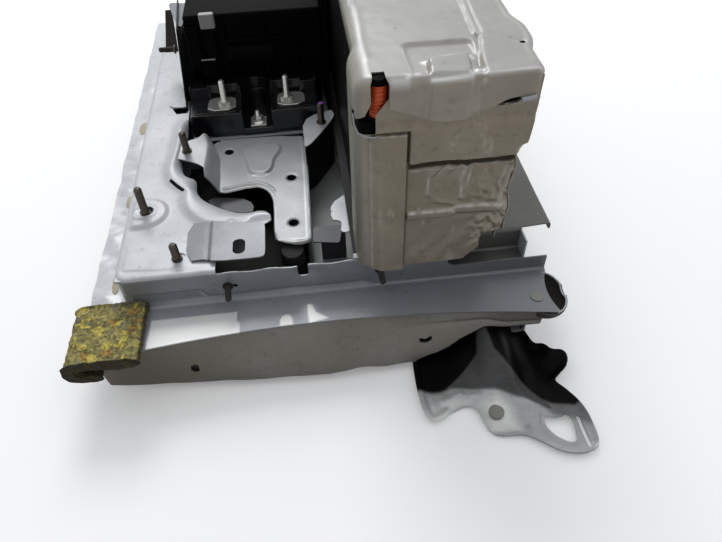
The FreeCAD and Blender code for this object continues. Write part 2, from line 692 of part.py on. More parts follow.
def make_bay_pan():
    """raised floor of the bay, with two walls down to the case floor"""
    body = new_body("bay_pan")
    gauge, floor = S.steel_gauge, S.skid_height + S.steel_gauge
    left, right, top = -S.bay_left - 9, S.bay_right + 12, S.bay_level
    profile = [(left, floor), (left + gauge, floor), (left + gauge, top - gauge),
               (right - gauge, top - gauge), (right - gauge, floor), (right, floor),
               (right, top), (left, top)]
    pad(body, "front", S.bridge_back - gauge, S.bridge_back + S.deck_front - 12, profile)
    cut(body, "top", top + 1, gauge + 2,
        rings=[(-S.bridge_right - 14, -S.bridge_front - 18, S.slot_radius * 0.7)],
        slots=[(-S.bridge_left + 20, -S.bridge_notch_y - 30, S.tab_depth, S.bridge_hole * 2)])
    round_edges(body, S.bend_radius, lambda a, b: close_to(a.z, top) and close_to(b.z, top)
                and abs(a.y - b.y) > 100)


def make_shelf():
    """electronics shelf behind the bay: flat top on two walls"""
    body = new_body("electronics_shelf")
    gauge, floor = S.steel_gauge, S.skid_height + S.steel_gauge
    left, right, top = -S.shelf_left, S.shelf_right, S.bridge_level
    profile = [(left, floor), (left + gauge, floor), (left + gauge, top - gauge),
               (right - gauge, top - gauge), (right - gauge, floor), (right, floor),
               (right, top), (left, top)]
    pad(body, "front", S.shelf_back, S.shelf_back - S.bridge_back, profile)
    middle = (S.block_back + S.shelf_back) / 2
    cut(body, "top", top + 1, gauge + 2,
        slots=[(-S.bridge_notch_x, middle, S.shelf_back * 0.4, S.slot_radius)])


def make_stack_support():
    """hat rail from the case floor to the deck, under the cell stack"""
    body = new_body("stack_support")
    gauge, floor = S.steel_gauge, S.skid_height + S.steel_gauge
    top = S.deck_level - gauge
    left, right = S.cover_left + 24, S.cover_right - 19
    profile = [(left - 12, floor), (left + gauge, floor), (left + gauge, top - gauge),
               (right - gauge, top - gauge), (right - gauge, floor), (right + 12, floor),
               (right + 12, floor + gauge), (right, floor + gauge), (right, top), (left, top),
               (left, floor + gauge), (left - 12, floor + gauge)]
    pad(body, "front", S.deck_back - 8, S.deck_back + S.notch_front - 20, profile)


def make_bridge():
    """inverted L plate over the bay: tab on the deck, sloping wall, sunk plate, down-turned edge"""
    body = new_body("bridge_bracket")
    gauge, top, deck = S.steel_gauge, S.bridge_level, S.deck_level
    left, right = -S.bridge_left, -S.bridge_right
    notch_x, notch_y = -S.bridge_notch_x, -S.bridge_notch_y
    plate = [(left, notch_y), (notch_x - 14, notch_y), (notch_x - 4, notch_y - 4),
             (notch_x, notch_y - 13), (notch_x, -S.bridge_front + 9),
             (notch_x + 8, -S.bridge_front + 1), (right - 12, -S.bridge_front - 3),
             (right, -S.bridge_front + 2), (right, S.bridge_back), (left, S.bridge_back)]
    pad(body, "top", top - gauge, gauge, plate,
        rings=[(left + 9.5, -S.bridge_back + 12, S.bridge_hole),
               (right - 16.5, notch_y + 16, S.bridge_hole),
               (right - 17, notch_y - 60, S.bridge_hole)])
    shoulder = left - 13
    wall = [(left, top), (shoulder, deck + gauge), (shoulder - gauge * 2, deck + gauge),
            (shoulder - gauge * 2, deck), (shoulder - gauge * 0.6, deck),
            (left - gauge * 0.4, top - gauge), (left + gauge, top - gauge), (left + gauge, top)]
    pad(body, "front", S.bridge_back, S.bridge_back - notch_y, wall)
    tab_left = shoulder - S.tab_width + gauge
    tab = [(shoulder - gauge, -S.bridge_back + 14), (tab_left + 9, -S.bridge_back + 11),
           (tab_left, -S.bridge_back - 14), (shoulder - gauge, -S.tab_depth - 4)]
    pad(body, "top", deck, gauge, tab)
    pad(body, "side", right - gauge, gauge,
        rectangle(-S.bridge_front + 2, S.bridge_back, S.bay_level, top))
    embossed = [(left + 25, -S.bridge_back + 14), (left + 48, -S.bridge_back + 19),
                (left + 71, -S.bridge_back + 19), (left + 66, -S.bridge_back - 4),
                (left + 58, -S.bridge_back - 30), (left + 36, -S.bridge_back - 34),
                (left + 30, -S.bridge_back - 8)]
    pad(body, "top", top, gauge, embossed)
    inset = [(left + 28, -S.bridge_back + 12), (left + 48, -S.bridge_back + 16),
             (left + 67, -S.bridge_back + 16), (left + 63, -S.bridge_back - 4),
             (left + 56, -S.bridge_back - 28), (left + 38, -S.bridge_back - 31),
             (left + 33, -S.bridge_back - 8)]
    cut(body, "top", top, gauge + 1, inset)
    pad(body, "top", top, gauge, inset)


def make_slotted_bracket():
    """Z-shaped bracket: foot on the deck, raised plate with a slot, turned-down right end"""
    body = new_body("slotted_bracket")
    gauge, deck, top = S.steel_gauge, S.deck_level, S.slotted_level
    left, right = -S.slotted_left, -S.slotted_right
    rise = left + 25
    profile = [(left, deck), (rise + 1, deck), (rise + 7, top - gauge), (right - gauge, top - gauge),
               (right - gauge, deck), (right, deck), (right, top), (rise + 6, top),
               (rise, deck + gauge), (left, deck + gauge)]
    depth = S.slotted_front - S.slotted_back
    pad(body, "front", -S.slotted_back, depth, profile)
    cut(body, "top", top + 1, top - deck + 3,
        [(left - 2, -S.slotted_back + 1), (left - 2, -S.slotted_back - 1),
         (right + 2, -S.slotted_back - 16), (right + 2, -S.slotted_back + 1)])
    cut(body, "top", top + 1, gauge + 3,
        slots=[(right - 23.6, -S.slotted_front + 17, 18, 6)])
    round_edges(body, gauge * 4, lambda a, b: close_to(a.x, right) and close_to(b.x, right)
                and abs(a.z - b.z) > 3 and close_to(a.y, b.y))


def make_gusset():
    """slanting upright beside the bridge that ends in a tab"""
    body = new_body("gusset_bracket")
    gauge, top = S.steel_gauge, S.gusset_level
    left = -S.bridge_right + gauge
    pad(body, "top", top - gauge, gauge,
        [(left, -S.bridge_back - 26), (left + 8, -S.bridge_back - 18), (left + 38, 10),
         (left + 38, 17), (left + 35, 25), (left + 19, 23), (left, S.bridge_back - 13)])
    slant = [(left, -S.bridge_back - 26), (left + 8, -S.bridge_back - 18), (left + 36, 7),
             (left + 34.7, 7.8), (left + 7, -S.bridge_back - 17), (left, -S.bridge_back - 24)]
    pad(body, "top", S.bay_level, top - gauge - S.bay_level, slant)


def make_side_stay():
    """small angle in the bay: upright on the pan with a shelf towards the cover"""
    body = new_body("side_stay")
    gauge, top = S.steel_gauge, S.stay_level
    left, right, front = -S.bridge_right + 9, S.cover_left - 6, -S.bridge_front + 10
    pad(body, "front", front + gauge, gauge, rectangle(left, right, S.bay_level, top))
    pad(body, "top", top - gauge, gauge,
        [(left, front), (right, front), (right, front + 48), (right - 12, front + 48),
         (left, front + 14)])


def make_upright():
    """dark upright at the bay's left: foot on the deck, plate, slanting flange at the top"""
    body = new_body("upright_bracket")
    gauge, deck, top = S.steel_gauge, S.deck_level, S.upright_top
    face, foot = -S.upright_x, -S.upright_foot
    front, back = S.upright_front, S.upright_back
    plate = [(front, deck), (back, deck), (back, top), (front + 56, top), (front + 17, top - 12),
             (front + 17, deck + 22)]
    pad(body, "side", face - gauge, gauge, plate)
    pad(body, "top", deck, gauge,
        [(face, front + 3), (foot + 14, front + 3), (foot + 4, front + 12), (foot, front + 45),
         (foot - 4, back - 20), (face, back - 20)])
    pad(body, "top", top - gauge, gauge,
        [(face, front + 58), (foot + 2, front + 78), (foot - 4, back), (face, back)],
        rings=[(foot + 14, back - 60, S.bridge_hole)])


def make_cover_left():
    """cover's left wall, turned round the front corner into a return strip; window at the corner"""
    body = new_body("cover_left")
    gauge, left, crease = S.cover_gauge, S.cover_left, S.cover_crease
    face, corner, back = -S.cover_front, -S.cover_corner, S.cover_back
    top = S.cover_top - S.cover_gauge * 4
    plan = [(left, back), (left, corner), (crease, face), (S.strip_right, face),
            (S.strip_right, face + gauge), (crease + gauge * 0.7, face + gauge),
            (left + gauge, corner + gauge * 0.4), (left + gauge, back)]
    pad(body, "top", S.deck_level, top - S.deck_level, plan)
    cut(body, "top", top + 1, top - S.strip_top + 1,
        rectangle(crease - 1, S.strip_right + 2, face - 1, face + gauge + 3))
    cut(body, "top", top + 1, top - S.window_foot + 1,
        rectangle(left - 2, S.window_right, face - 1, corner + 2))
    pad(body, "top", S.cover_foot, S.deck_level - S.cover_foot + 1,
        [(crease, face), (S.strip_right, face), (S.strip_right, face + gauge),
         (crease + gauge * 0.7, face + gauge)])


def make_cover_right():
    """cover's right wall, stepped inward below the upper field"""
    body = new_body("cover_right")
    gauge, right = S.cover_gauge, S.cover_right
    inset, top = right - S.cover_inset, S.cover_top - S.cover_gauge * 4
    step = S.step_level
    front = gauge * 2 - S.cover_front
    profile = [(inset - gauge, S.deck_level), (inset, S.deck_level), (inset, step - 4),
               (right, step + 4), (right, top), (right - gauge, top), (right - gauge, step + 4.6),
               (inset - gauge, step - 3.4)]
    pad(body, "front", S.cover_back, S.cover_back - front, profile)


def make_cover_rear():
    """plain rear wall of the cover, flanged at both sides"""
    body = new_body("cover_rear")
    gauge = S.cover_gauge
    left, right = S.cover_left, S.cover_right - S.cover_inset
    back = S.cover_back
    pad(body, "front", back + gauge, gauge,
        rectangle(left, right, S.deck_level, S.cover_top - S.cover_gauge * 4))


def make_end_panel():
    """thin end panel of the cover: raised upper field, cross bead, cut lower right corner"""
    body = new_body("cover_end_panel")
    gauge, face = S.cover_gauge, S.cover_gauge - S.cover_front
    left, right = S.cover_crease + S.cover_gauge * 2, S.cover_right
    low_right = right - S.cover_inset
    top = S.cover_top - S.cover_gauge * 4
    window, window_right = S.window_foot - 2, S.window_right
    outline = [(left, window), (left, S.cover_foot), (right - 41, S.cover_foot),
               (right - 29, S.cover_foot + 16), (right - 26, S.cover_foot + 26),
               (right - 12, S.cover_foot + 33),
               (low_right, S.cover_foot + 47), (low_right, S.step_level - 4),
               (right, S.step_level + 4), (right, top), (window_right + 5.5, top),
               (window_right + 5.5, window + 32), (window_right, window + 25),
               (window_right, window)]
    pad(body, "front", face + gauge, gauge, outline)
    field_left = S.strip_right + gauge
    rise = S.step_rise
    pad(body, "front", face, rise,
        [(field_left, S.step_level), (right - 7, S.step_level), (right, S.step_level + 7),
         (right, top), (field_left, top)])
    cut(body, "front", face - rise + gauge, rise + 1,
        [(field_left + gauge, S.step_level + gauge), (right - 7, S.step_level + gauge),
         (right - gauge, S.step_level + 8), (right - gauge, top + 1), (field_left + gauge, top + 1)])
    half = S.bead_rise * 1.4
    pad(body, "front", face, S.bead_rise,
        rectangle(field_left, low_right - 4, S.bead_level - half, S.bead_level + half))
    cut(body, "front", face - S.bead_rise + gauge, S.bead_rise + 1,
        rectangle(field_left + gauge, low_right - 4 - gauge, S.bead_level - half + gauge,
                  S.bead_level + half - gauge))


def make_cover_top():
    """pressed top of the cover: side skirts, front flange with a curved lower edge, saddle, ear"""
    body = new_body("cover_top")
    gauge, top = S.cover_gauge, S.cover_top
    left, right = S.cover_left - gauge, S.cover_right + gauge
    shoulder, low = top - gauge * 4, top - S.skirt_depth
    ridge = S.cover_crease + 5
    front = S.cover_front + S.step_rise + gauge
    back = S.cover_back + gauge
    arch = [(left, low), (left, shoulder), (ridge, top), (right - 7, top), (right, shoulder),
            (right, low), (right - gauge, low), (right - gauge, shoulder), (right - 7.5, top - gauge),
            (ridge + 0.5, top - gauge), (left + gauge, shoulder), (left + gauge, low)]
    pad(body, "front", back, back + front, arch)
    flange = [(ridge + 12, top - gauge), (ridge + 12, low + 3), (ridge + 20, low - 6),
              (S.saddle_left - 4, low - 10), (S.saddle_left + 8, low - 12),
              (S.saddle_right - 4, low - 11), (S.saddle_right + 5, low - 3),
              (right - 5, low + 2), (right, low + 2), (right, shoulder), (right - 7, top - gauge)]
    pad(body, "front", gauge - front, gauge, flange)
    cut(body, "top", top + 1, S.skirt_depth + 2,
        rectangle(left - 1, ridge + 12, -front - 1, -S.cover_corner - 8))
    saddle = rectangle(S.saddle_left, S.saddle_right, -front, S.saddle_length - front)
    pad(body, "top", top, S.saddle_rise, saddle)
    ear_middle = right + S.ear_reach - S.ear_radius
    pad(body, "top", low + 4, S.skirt_depth - 8, rings=[(ear_middle, -S.ear_y, S.ear_radius)])
    cut(body, "top", shoulder - 1 - 2, S.skirt_depth,
        rings=[(ear_middle, -S.ear_y, S.ear_radius - gauge)])
    reach = S.ear_radius + 1
    cut(body, "top", shoulder, S.skirt_depth,
        rectangle(ear_middle - reach, right - gauge, -S.ear_y - reach, -S.ear_y + reach))


def make_terminal_block():
    """stepped moulded block with an arched earth slot and hollows behind the terminals"""
    body = new_body("terminal_block")
    left, right = -S.block_left, S.block_right
    pad(body, "top", S.bridge_level, S.block_level - S.bridge_level,
        rectangle(left, right, S.block_front, S.block_back))
    pad(body, "top", S.block_level, S.block_top - S.block_level,
        rectangle(left, right, S.block_step, S.block_back))
    radius = S.slot_radius
    middle, arch = -S.earth_x, S.block_back - radius - 6
    cut(body, "top", S.block_top + 1, S.block_top - S.earth_floor + 1,
        rectangle(middle - radius, middle + radius, S.block_front - 1, arch))
    cut(body, "top", S.block_top + 1, S.block_top - S.earth_floor + 1,
        rings=[(middle, arch, radius - 0.01)])
    cut(body, "top", S.block_top + 1, S.block_top - S.block_level + 1,
        rings=[(-S.minus_x, S.terminal_y, S.slot_radius), (-S.plus_x, S.terminal_y, S.slot_radius)])
    cut(body, "top", S.block_level + 1, 5,
        rectangle(-S.minus_x - 12, -S.minus_x + 10, S.block_front + 1.5, S.block_front + 4))
    cut(body, "top", S.block_level + 1, 5,
        rectangle(-S.plus_x - 10, -S.plus_x + 12, S.block_front + 1.5, S.block_front + 4))


def make_terminals():
    """two copper plates on the block, each with a stud"""
    low, high = S.block_level, S.block_level + S.plate_gauge
    front, back = S.terminal_y - 15, S.terminal_y + 11
    plates, studs = [], []
    for side, x, lean in (("minus", -S.minus_x, -6), ("plus", -S.plus_x, 10)):
        plate = block(f"{side}_plate", (x - 18 + lean / 2, x + 18 + lean / 2), (front, back),
                      (low, high))
        arm = block(f"{side}_arm", (x + lean * 2 - 14, x + lean * 2 + 14), (back - 12, back),
                    (low, high))
        plates.append(fuse(f"{side}_blade", [plate, arm]))
        studs.append(stud(f"{side}_stud", (x, S.terminal_y, high), "up", S.terminal_radius,
                          S.terminal_height, S.terminal_radius * 2, S.collar_height * 2))
    gather("terminal_plates", plates)
    gather("terminal_studs", studs)


def make_earth():
    """earth point: square washer, flange nut and stud on the slot's floor"""
    x, y, floor = -S.earth_x, S.earth_y, S.earth_floor
    half, washer_height = S.stud_radius * 2.4, S.steel_gauge
    washer = block("washer_blank", (x - half, x + half), (y - half, y + half),
                   (floor, floor + washer_height))
    bore = rod("washer_bore", (x, y, floor - 1), "up", S.stud_radius - 1 + 0.15, washer_height + 2)
    cut_washer = doc.addObject("Part::Cut", "washer_cut")
    cut_washer.Base, cut_washer.Tool = washer, bore
    keep(cut_washer, "earth_washer")
    nut_foot = floor + washer_height
    flange = rod("nut_flange", (x, y, nut_foot), "up", S.stud_radius * 2.1, washer_height)
    hexagon = doc.addObject("Part::Prism", "nut_hexagon")
    hexagon.Polygon = 6
    bind(hexagon, "Circumradius", S.stud_radius * 1.5)
    bind(hexagon, "Height", S.stud_radius * 1.3)
    place(hexagon, (x, y, nut_foot + washer_height), "up")
    solid_nut = fuse("nut_blank", [flange, hexagon])
    thread = rod("nut_bore", (x, y, nut_foot - 1), "up", S.stud_radius - 1 + 0.15,
                 S.stud_radius * 4)
    nut = doc.addObject("Part::Cut", "nut_cut")
    nut.Base, nut.Tool = solid_nut, thread
    keep(nut, "earth_nut")
    shank = rod("earth_shank", (x, y, floor), "up", S.stud_radius - 1, S.stud_radius * 4)
    keep(shank, "earth_stud")


def make_housing():
    """junction housing: foot on the shelf, rounded body over the block, lid and latch"""
    foot = new_body("housing_foot")
    pad(foot, "top", S.bridge_level, S.block_top - S.bridge_level,
        rectangle(-S.housing_left + 4, S.housing_right - 6, S.block_back, S.housing_back - 6))
    body = new_body("junction_housing")
    left, right, front, back = -S.housing_left, S.housing_right, S.housing_front, S.housing_back
    pad(body, "top", S.block_top, S.housing_top - S.block_top, rectangle(left, right, front, back))
    round_edges(body, S.housing_round, lambda a, b: close_to(a.y, front) and close_to(b.y, front)
                and close_to(a.z, S.block_top) and close_to(b.z, S.block_top))
    cut(body, "top", S.housing_top + 1, 5,
        rectangle(left + 22, right - 24, front - 1, front + 5))
    lid = new_body("housing_lid")
    pad(lid, "top", S.housing_top, S.lid_height, rectangle(left, right, front, back))
    round_edges(lid, S.lid_height * 0.6, lambda a, b: close_to(a.z, b.z)
                and a.z > S.housing_top.number + 1)
    latch = new_body("housing_latch")
    pad(latch, "side", left + 12, S.slot_radius,
        [(front, S.block_top + 16), (front, S.housing_top + S.lid_height * 0.4),
         (front - 5, S.housing_top + S.lid_height * 0.4), (front - 7, S.housing_top - 16),
         (front - 3, S.housing_top - 20), (front - 3, S.block_top + 16)])


def make_conduit():
    """orange conduit from its corner plug up and back to the boot on the cell stack"""
    radius, bend = S.conduit_radius, S.conduit_radius * 2
    x, y, foot = S.conduit_x, -S.conduit_y, S.window_foot + S.conduit_plug_height
    crown = S.cover_top - S.cover_gauge - radius - 1
    start = Vector(float(x), float(y), float(foot))
    angles = [math.pi * side / 6 for side in range(12)]
    ring = [start + Vector(float(radius) * math.cos(angle), float(radius) * math.sin(angle), 0)
            for angle in angles]
    turn = start + Vector(0, 0, float(crown - bend - foot))
    over = Vector(start.x, start.y + float(bend), float(crown))
    middle = turn + Vector(0, float(bend) * (1 - math.sqrt(0.5)), float(bend) * math.sqrt(0.5))
    end = Vector(start.x, start.y + float(S.conduit_bend), float(crown))
    path = Part.Wire([Part.makeLine(start, turn), Part.Arc(turn, middle, over).toShape(),
                      Part.makeLine(over, end)])
    finished("hv_conduit", path.makePipeShell([Part.makePolygon(ring + ring[:1])], True, False))
    left = S.cover_left + S.cover_gauge
    keep(block("conduit_plug", (left, S.conduit_x + S.conduit_radius),
               (-S.conduit_y - S.conduit_radius, -S.conduit_y + S.conduit_radius * 3),
               (S.window_foot, foot)), "conduit_plug")
    boot_low = S.deck_level + (S.tray_gauge * 2 + S.cell_height + S.bus_gauge) * 2
    keep(block("conduit_boot", (S.conduit_x - S.conduit_radius - 1,
                                S.conduit_x + S.conduit_radius + 1),
               (S.conduit_bend - S.conduit_y, -S.stack_front),
               (boot_low, S.cover_top - S.cover_gauge * 3)), "conduit_boot")


def make_seal():
    """chip foam seal folded round the flange: upper layer, round bend, lower layer"""
    body = new_body("corner_seal")
    left = -S.flange_reach - S.seal_wrap
    right = left + S.seal_width
    ledge = S.ledge_level
    low = ledge - S.seal_slot - S.seal_layer * 0.75
    lower_right = S.apron_inset - S.flange_reach - 1.5
    front, back = -S.ledge_front - S.seal_front, -S.deck_front - 0.3
    profile = [(left, low), (lower_right, low), (lower_right, ledge - S.seal_slot),
               (-S.flange_reach - 1, ledge - S.seal_slot), (-S.flange_reach - 1, ledge),
               (right, ledge), (right, ledge + S.seal_layer), (left, ledge + S.seal_layer)]
    pad(body, "front", back, back - front, profile)
    round_edges(body, S.seal_layer * 0.9, lambda a, b: close_to(a.x, left) and close_to(b.x, left)
                and close_to(a.z, b.z) and abs(a.y - b.y) > 10)


def make_studs():
    """welded studs on the deck, the brackets and the front wall"""
    root = (S.deck_collar, S.collar_height)
    under = S.deck_level - S.steel_gauge
    deck = [stud("rear_stud", (-S.rear_stud_x, -S.rear_stud_y, under), "up", S.stud_radius,
                 S.rear_stud_height + S.steel_gauge, *root),
            stud("front_stud", (-S.front_stud_x, -S.front_stud_y, under), "up", S.stud_radius,
                 S.front_stud_height + S.steel_gauge, *root)]
    gather("deck_studs", deck)
    tab_x = -S.bridge_left - 13 - S.tab_width * 0.6
    bracket = [stud("bridge_stud", (tab_x, -S.bridge_back - 10, S.deck_level + S.steel_gauge), "up",
                    S.stud_radius, S.bracket_stud_height, *root),
               stud("gusset_stud", (-S.bridge_right + 24, S.bridge_back - 18, S.gusset_level), "up",
                    S.stud_radius, S.bracket_stud_height, *root)]
    gather("bracket_studs", bracket)
    wall = [stud(name, (x, -S.deck_front, S.wall_stud_level), "forward", S.small_stud_radius,
                 S.wall_stud_length, S.collar_radius - 1.5, S.collar_height)
            for name, x in (("left_wall_stud", -S.left_wall_stud),
                            ("right_wall_stud", S.right_wall_stud))]
    gather("wall_studs", wall)
    keep(stud("upright_stud", (-S.upright_x - S.steel_gauge, S.upright_front + 22,
                               S.upright_top - 14), "left", S.small_stud_radius, S.wall_stud_length,
              S.collar_radius - 1.5, S.collar_height), "upright_stud")


def make_plugs():
    """flush round plugs in the ledge and in the leg"""
    ledge = rod("ledge_plug", (S.ledge_reach - 19, -S.deck_front - 37, S.ledge_level), "up",
                S.plug_radius, S.plug_height)
    keep(ledge, "ledge_plug")


def make_cells():
    """two tiers of prismatic cells between end plates, with trays, carriers, bus bars and rods"""
    half = S.cell_width / 2
    left, right = S.stack_centre - half, S.stack_centre + half
    front, pitch, count = -S.stack_front, S.cell_pitch, int(float(S.cell_count))
    back = front + pitch * count
    base = S.deck_level
    for tier in ("lower", "upper"):
        floor = base + S.tray_gauge
        lid = floor + S.cell_height
        keep(block(f"{tier}_tray", (left, right), (front, back), (base, floor)), f"{tier}_tray")
        cells = [block(f"{tier}_cell", (left, right),
                       (front + pitch * number, front + pitch * number + pitch - S.cell_gap),
                       (floor, lid)) for number in range(count)]
        gather(f"{tier}_cells", cells)
        keep(block(f"{tier}_carrier", (left, right), (front, back), (lid, lid + S.tray_gauge)),
             f"{tier}_carrier")
        bars = []
        for number in range(count - 1):
            middle = left + half * (0.45 if number % 2 else 1.55)
            start = front + pitch * number + pitch * 0.2
            bars.append(block(f"{tier}_bar", (middle - 10, middle + 10),
                              (start, start + pitch * 1.5),
                              (lid + S.tray_gauge, lid + S.tray_gauge + S.bus_gauge)))
        gather(f"{tier}_bus_bars", bars)
        base = lid + S.tray_gauge + S.bus_gauge
    top = base
    for label, low in (("front_end_plate", front - S.end_plate_gauge), ("rear_end_plate", back)):
        keep(block(label, (left, right), (low, low + S.end_plate_gauge), (S.deck_level, top)),
             label)


def make_control_unit():
    """battery control unit, flat box on the case floor under the shelf"""
    body = new_body("control_unit")
    floor = S.skid_height + S.steel_gauge * 2
    pad(body, "top", floor, S.cell_height / 3,
        rectangle(-S.shelf_left + 18, S.shelf_right - 18, S.block_back, S.shelf_back - 60))


def check_model():
    """stop if any object failed, any piece is not one valid shape, or a pocket cut nothing"""
    for thing in doc.Objects:
        if "Invalid" in thing.State or "Error" in thing.State:
            raise RuntimeError(f"{thing.Label}: {thing.State}")
        if thing.TypeId == "PartDesign::Pocket":
            before, after = thing.BaseFeature.Shape.Volume, thing.Shape.Volume
            if after >= before - 1e-3:
                home = thing.getParentGeoFeatureGroup().Label
                raise RuntimeError(f"{thing.Label} cut nothing in {home}")
    for piece in pieces:
        if piece.Shape.isNull() or not piece.Shape.isValid() or not piece.Shape.Solids:
            raise RuntimeError(f"{piece.Label} has no valid shape")


make_lower_case()
make_skids()
make_upper_deck()
make_apron()
make_closing_channel()
make_mount_leg()
make_stud_plate()
make_bay_pan()
make_shelf()
make_stack_support()
make_bridge()
make_slotted_bracket()
make_gusset()
make_side_stay()
make_upright()
make_cover_left()
make_cover_right()
make_cover_rear()
make_end_panel()
make_cover_top()
make_terminal_block()
make_terminals()
make_earth()
make_housing()
make_conduit()
make_seal()
make_studs()
make_plugs()
make_cells()
make_control_unit()
doc.recompute()
check_model()

os.makedirs("parts", exist_ok=True)
for piece in pieces:
    piece.Shape.exportStep(f"parts/{piece.Label}.step")
print(len(pieces), "pieces")
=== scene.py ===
"""Looks of the hybrid car battery pack: pressed sheets, brackets, studs, mouldings, foam, light and camera.

Lengths in the shapes are millimetres in the part's frame and become metres when a mesh is made.
A sheet is a grid of points; a signed distance (negative on the metal) trims it, so its edges are smooth.
"""

import math

import bpy
import numpy as np
from mathutils import Matrix, Vector


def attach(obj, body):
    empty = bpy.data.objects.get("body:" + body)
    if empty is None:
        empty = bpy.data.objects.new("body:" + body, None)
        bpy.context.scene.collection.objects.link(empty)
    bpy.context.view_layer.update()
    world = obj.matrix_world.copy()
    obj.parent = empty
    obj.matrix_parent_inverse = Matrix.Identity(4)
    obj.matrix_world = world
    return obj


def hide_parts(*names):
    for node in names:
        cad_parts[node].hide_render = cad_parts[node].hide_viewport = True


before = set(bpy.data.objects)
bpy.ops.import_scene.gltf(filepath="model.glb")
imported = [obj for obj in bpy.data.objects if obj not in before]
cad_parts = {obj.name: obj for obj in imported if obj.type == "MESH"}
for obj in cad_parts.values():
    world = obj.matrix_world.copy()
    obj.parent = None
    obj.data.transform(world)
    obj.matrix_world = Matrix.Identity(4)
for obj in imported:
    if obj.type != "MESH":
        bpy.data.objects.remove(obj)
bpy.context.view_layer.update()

FINE = 1.4      # grid step of the sheets near the camera, mm


def box_distance(u, v, low_u, high_u, low_v, high_v, corner=0.0):
    """Distance to a rectangle with rounded corners: negative inside."""
    du = np.abs(u - (low_u + high_u) / 2) - (high_u - low_u) / 2 + corner
    dv = np.abs(v - (low_v + high_v) / 2) - (high_v - low_v) / 2 + corner
    outside = np.hypot(np.maximum(du, 0), np.maximum(dv, 0))
    return outside + np.minimum(np.maximum(du, dv), 0) - corner


def disc_distance(u, v, centre_u, centre_v, radius):
    """Distance to a disc: negative inside."""
    return np.hypot(u - centre_u, v - centre_v) - radius


def side_distance(u, v, ax, ay, bx, by):
    """Distance to the straight side between two points."""
    ex, ey = bx - ax, by - ay
    along = np.clip(((u - ax) * ex + (v - ay) * ey) / (ex * ex + ey * ey + 1e-12), 0, 1)
    return np.hypot(u - ax - ex * along, v - ay - ey * along)


def path_distance(u, v, points):
    """Distance to the polygon through the points: nearest side, negative inside."""
    points = np.asarray(points, float)
    nearest = np.full(np.shape(u), 1e9)
    inside = np.zeros(np.shape(u), bool)
    for (ax, ay), (bx, by) in zip(points, np.roll(points, -1, axis=0)):
        nearest = np.minimum(nearest, side_distance(u, v, ax, ay, bx, by))
        rise = by - ay
        crosses = (ay > v) != (by > v)
        at = ax + (v - ay) * (bx - ax) / (rise if abs(rise) > 1e-9 else 1e-9)
        inside ^= crosses & (u < at)
    return np.where(inside, -nearest, nearest)


def line_distance(u, v, points):
    """Distance to an open line through the points."""
    nearest = np.full(np.shape(u), 1e9)
    for (ax, ay), (bx, by) in zip(points[:-1], points[1:]):
        nearest = np.minimum(nearest, side_distance(u, v, ax, ay, bx, by))
    return nearest


def bell(distance, reach):
    """1 where a distance is nought, falling off smoothly on both sides."""
    return np.exp(-(distance / reach) ** 2)


def ridge(u, v, points, reach):
    """A soft ridge of height 1 along an open line."""
    return bell(line_distance(u, v, points), reach)


def strokes(u, v, lines):
    """Soft strokes along open lines, each (points, reach, amount): the strongest at each point."""
    return np.maximum.reduce([amount * ridge(u, v, path, reach) for path, reach, amount in lines])


def soft_path(points, rounds=3):
    """The points with their corners cut: each round puts two points on every side."""
    points = np.asarray(points, float)
    for _ in range(rounds):
        following = np.roll(points, -1, axis=0)
        points = np.stack([points * 0.75 + following * 0.25,
                           points * 0.25 + following * 0.75], axis=1).reshape(-1, 2)
    return points


def ramp(value, low, high):
    """0 below low, 1 above high, an S-curve between."""
    t = np.clip((value - low) / (high - low), 0, 1)
    return t * t * (3 - 2 * t)


def fade(value, low, high):
    """1 below low, 0 above high, an S-curve between."""
    return 1 - ramp(value, low, high)


def union(*distances):
    """Distance to the nearest of several shapes."""
    return np.minimum.reduce(distances)


def blend_union(a, b, reach):
    """The nearer of two distances, rounded where they meet."""
    h = np.clip(0.5 + 0.5 * (b - a) / reach, 0, 1)
    return b + (a - b) * h - reach * h * (1 - h)


def without(distance, *holes):
    """Distance to a shape with others cut out of it."""
    return np.maximum.reduce([distance] + [-hole for hole in holes])


def waves(u, v, step, seed, octaves=3):
    """Gentle random unevenness of a sheet: a few sine waves in random directions, about -1 to 1."""
    rng = np.random.default_rng(seed)
    total = np.zeros(np.shape(u))
    for octave in range(octaves):
        for _ in range(5):
            angle, phase = rng.uniform(0, 2 * math.pi, 2)
            k = 2 * math.pi / (step / 1.7 ** octave * rng.uniform(0.7, 1.4))
            total += np.sin((u * math.cos(angle) + v * math.sin(angle)) * k + phase) / 1.8 ** octave
    return total / 5


def make_piece(name, vertices, faces, material, angle=38):
    """A mesh object from vertices in mm and a list or array of faces; edges bent by more than the
    angle, in degrees, are sharp."""
    mesh = bpy.data.meshes.new(name)
    mesh.from_pydata((np.asarray(vertices, float) / 1000).tolist(), [],
                     faces.tolist() if isinstance(faces, np.ndarray) else faces)
    mesh.validate()
    mesh.update()
    mesh.shade_smooth()
    mesh.set_sharp_from_angle(angle=math.radians(angle))
    piece = bpy.data.objects.new(name, mesh)
    bpy.context.collection.objects.link(piece)
    mesh.materials.append(material)
    return piece


def paint(piece, material, where):
    """Give the faces whose middles pass a test, in mm, another material."""
    mesh = piece.data
    mesh.materials.append(material)
    middles = np.empty(len(mesh.polygons) * 3)
    mesh.polygons.foreach_get("center", middles)
    chosen = where(*(middles.reshape(-1, 3).T * 1000))
    index = np.empty(len(mesh.polygons), np.int32)
    mesh.polygons.foreach_get("material_index", index)
    index[chosen] = len(mesh.materials) - 1
    mesh.polygons.foreach_set("material_index", index)
    return piece


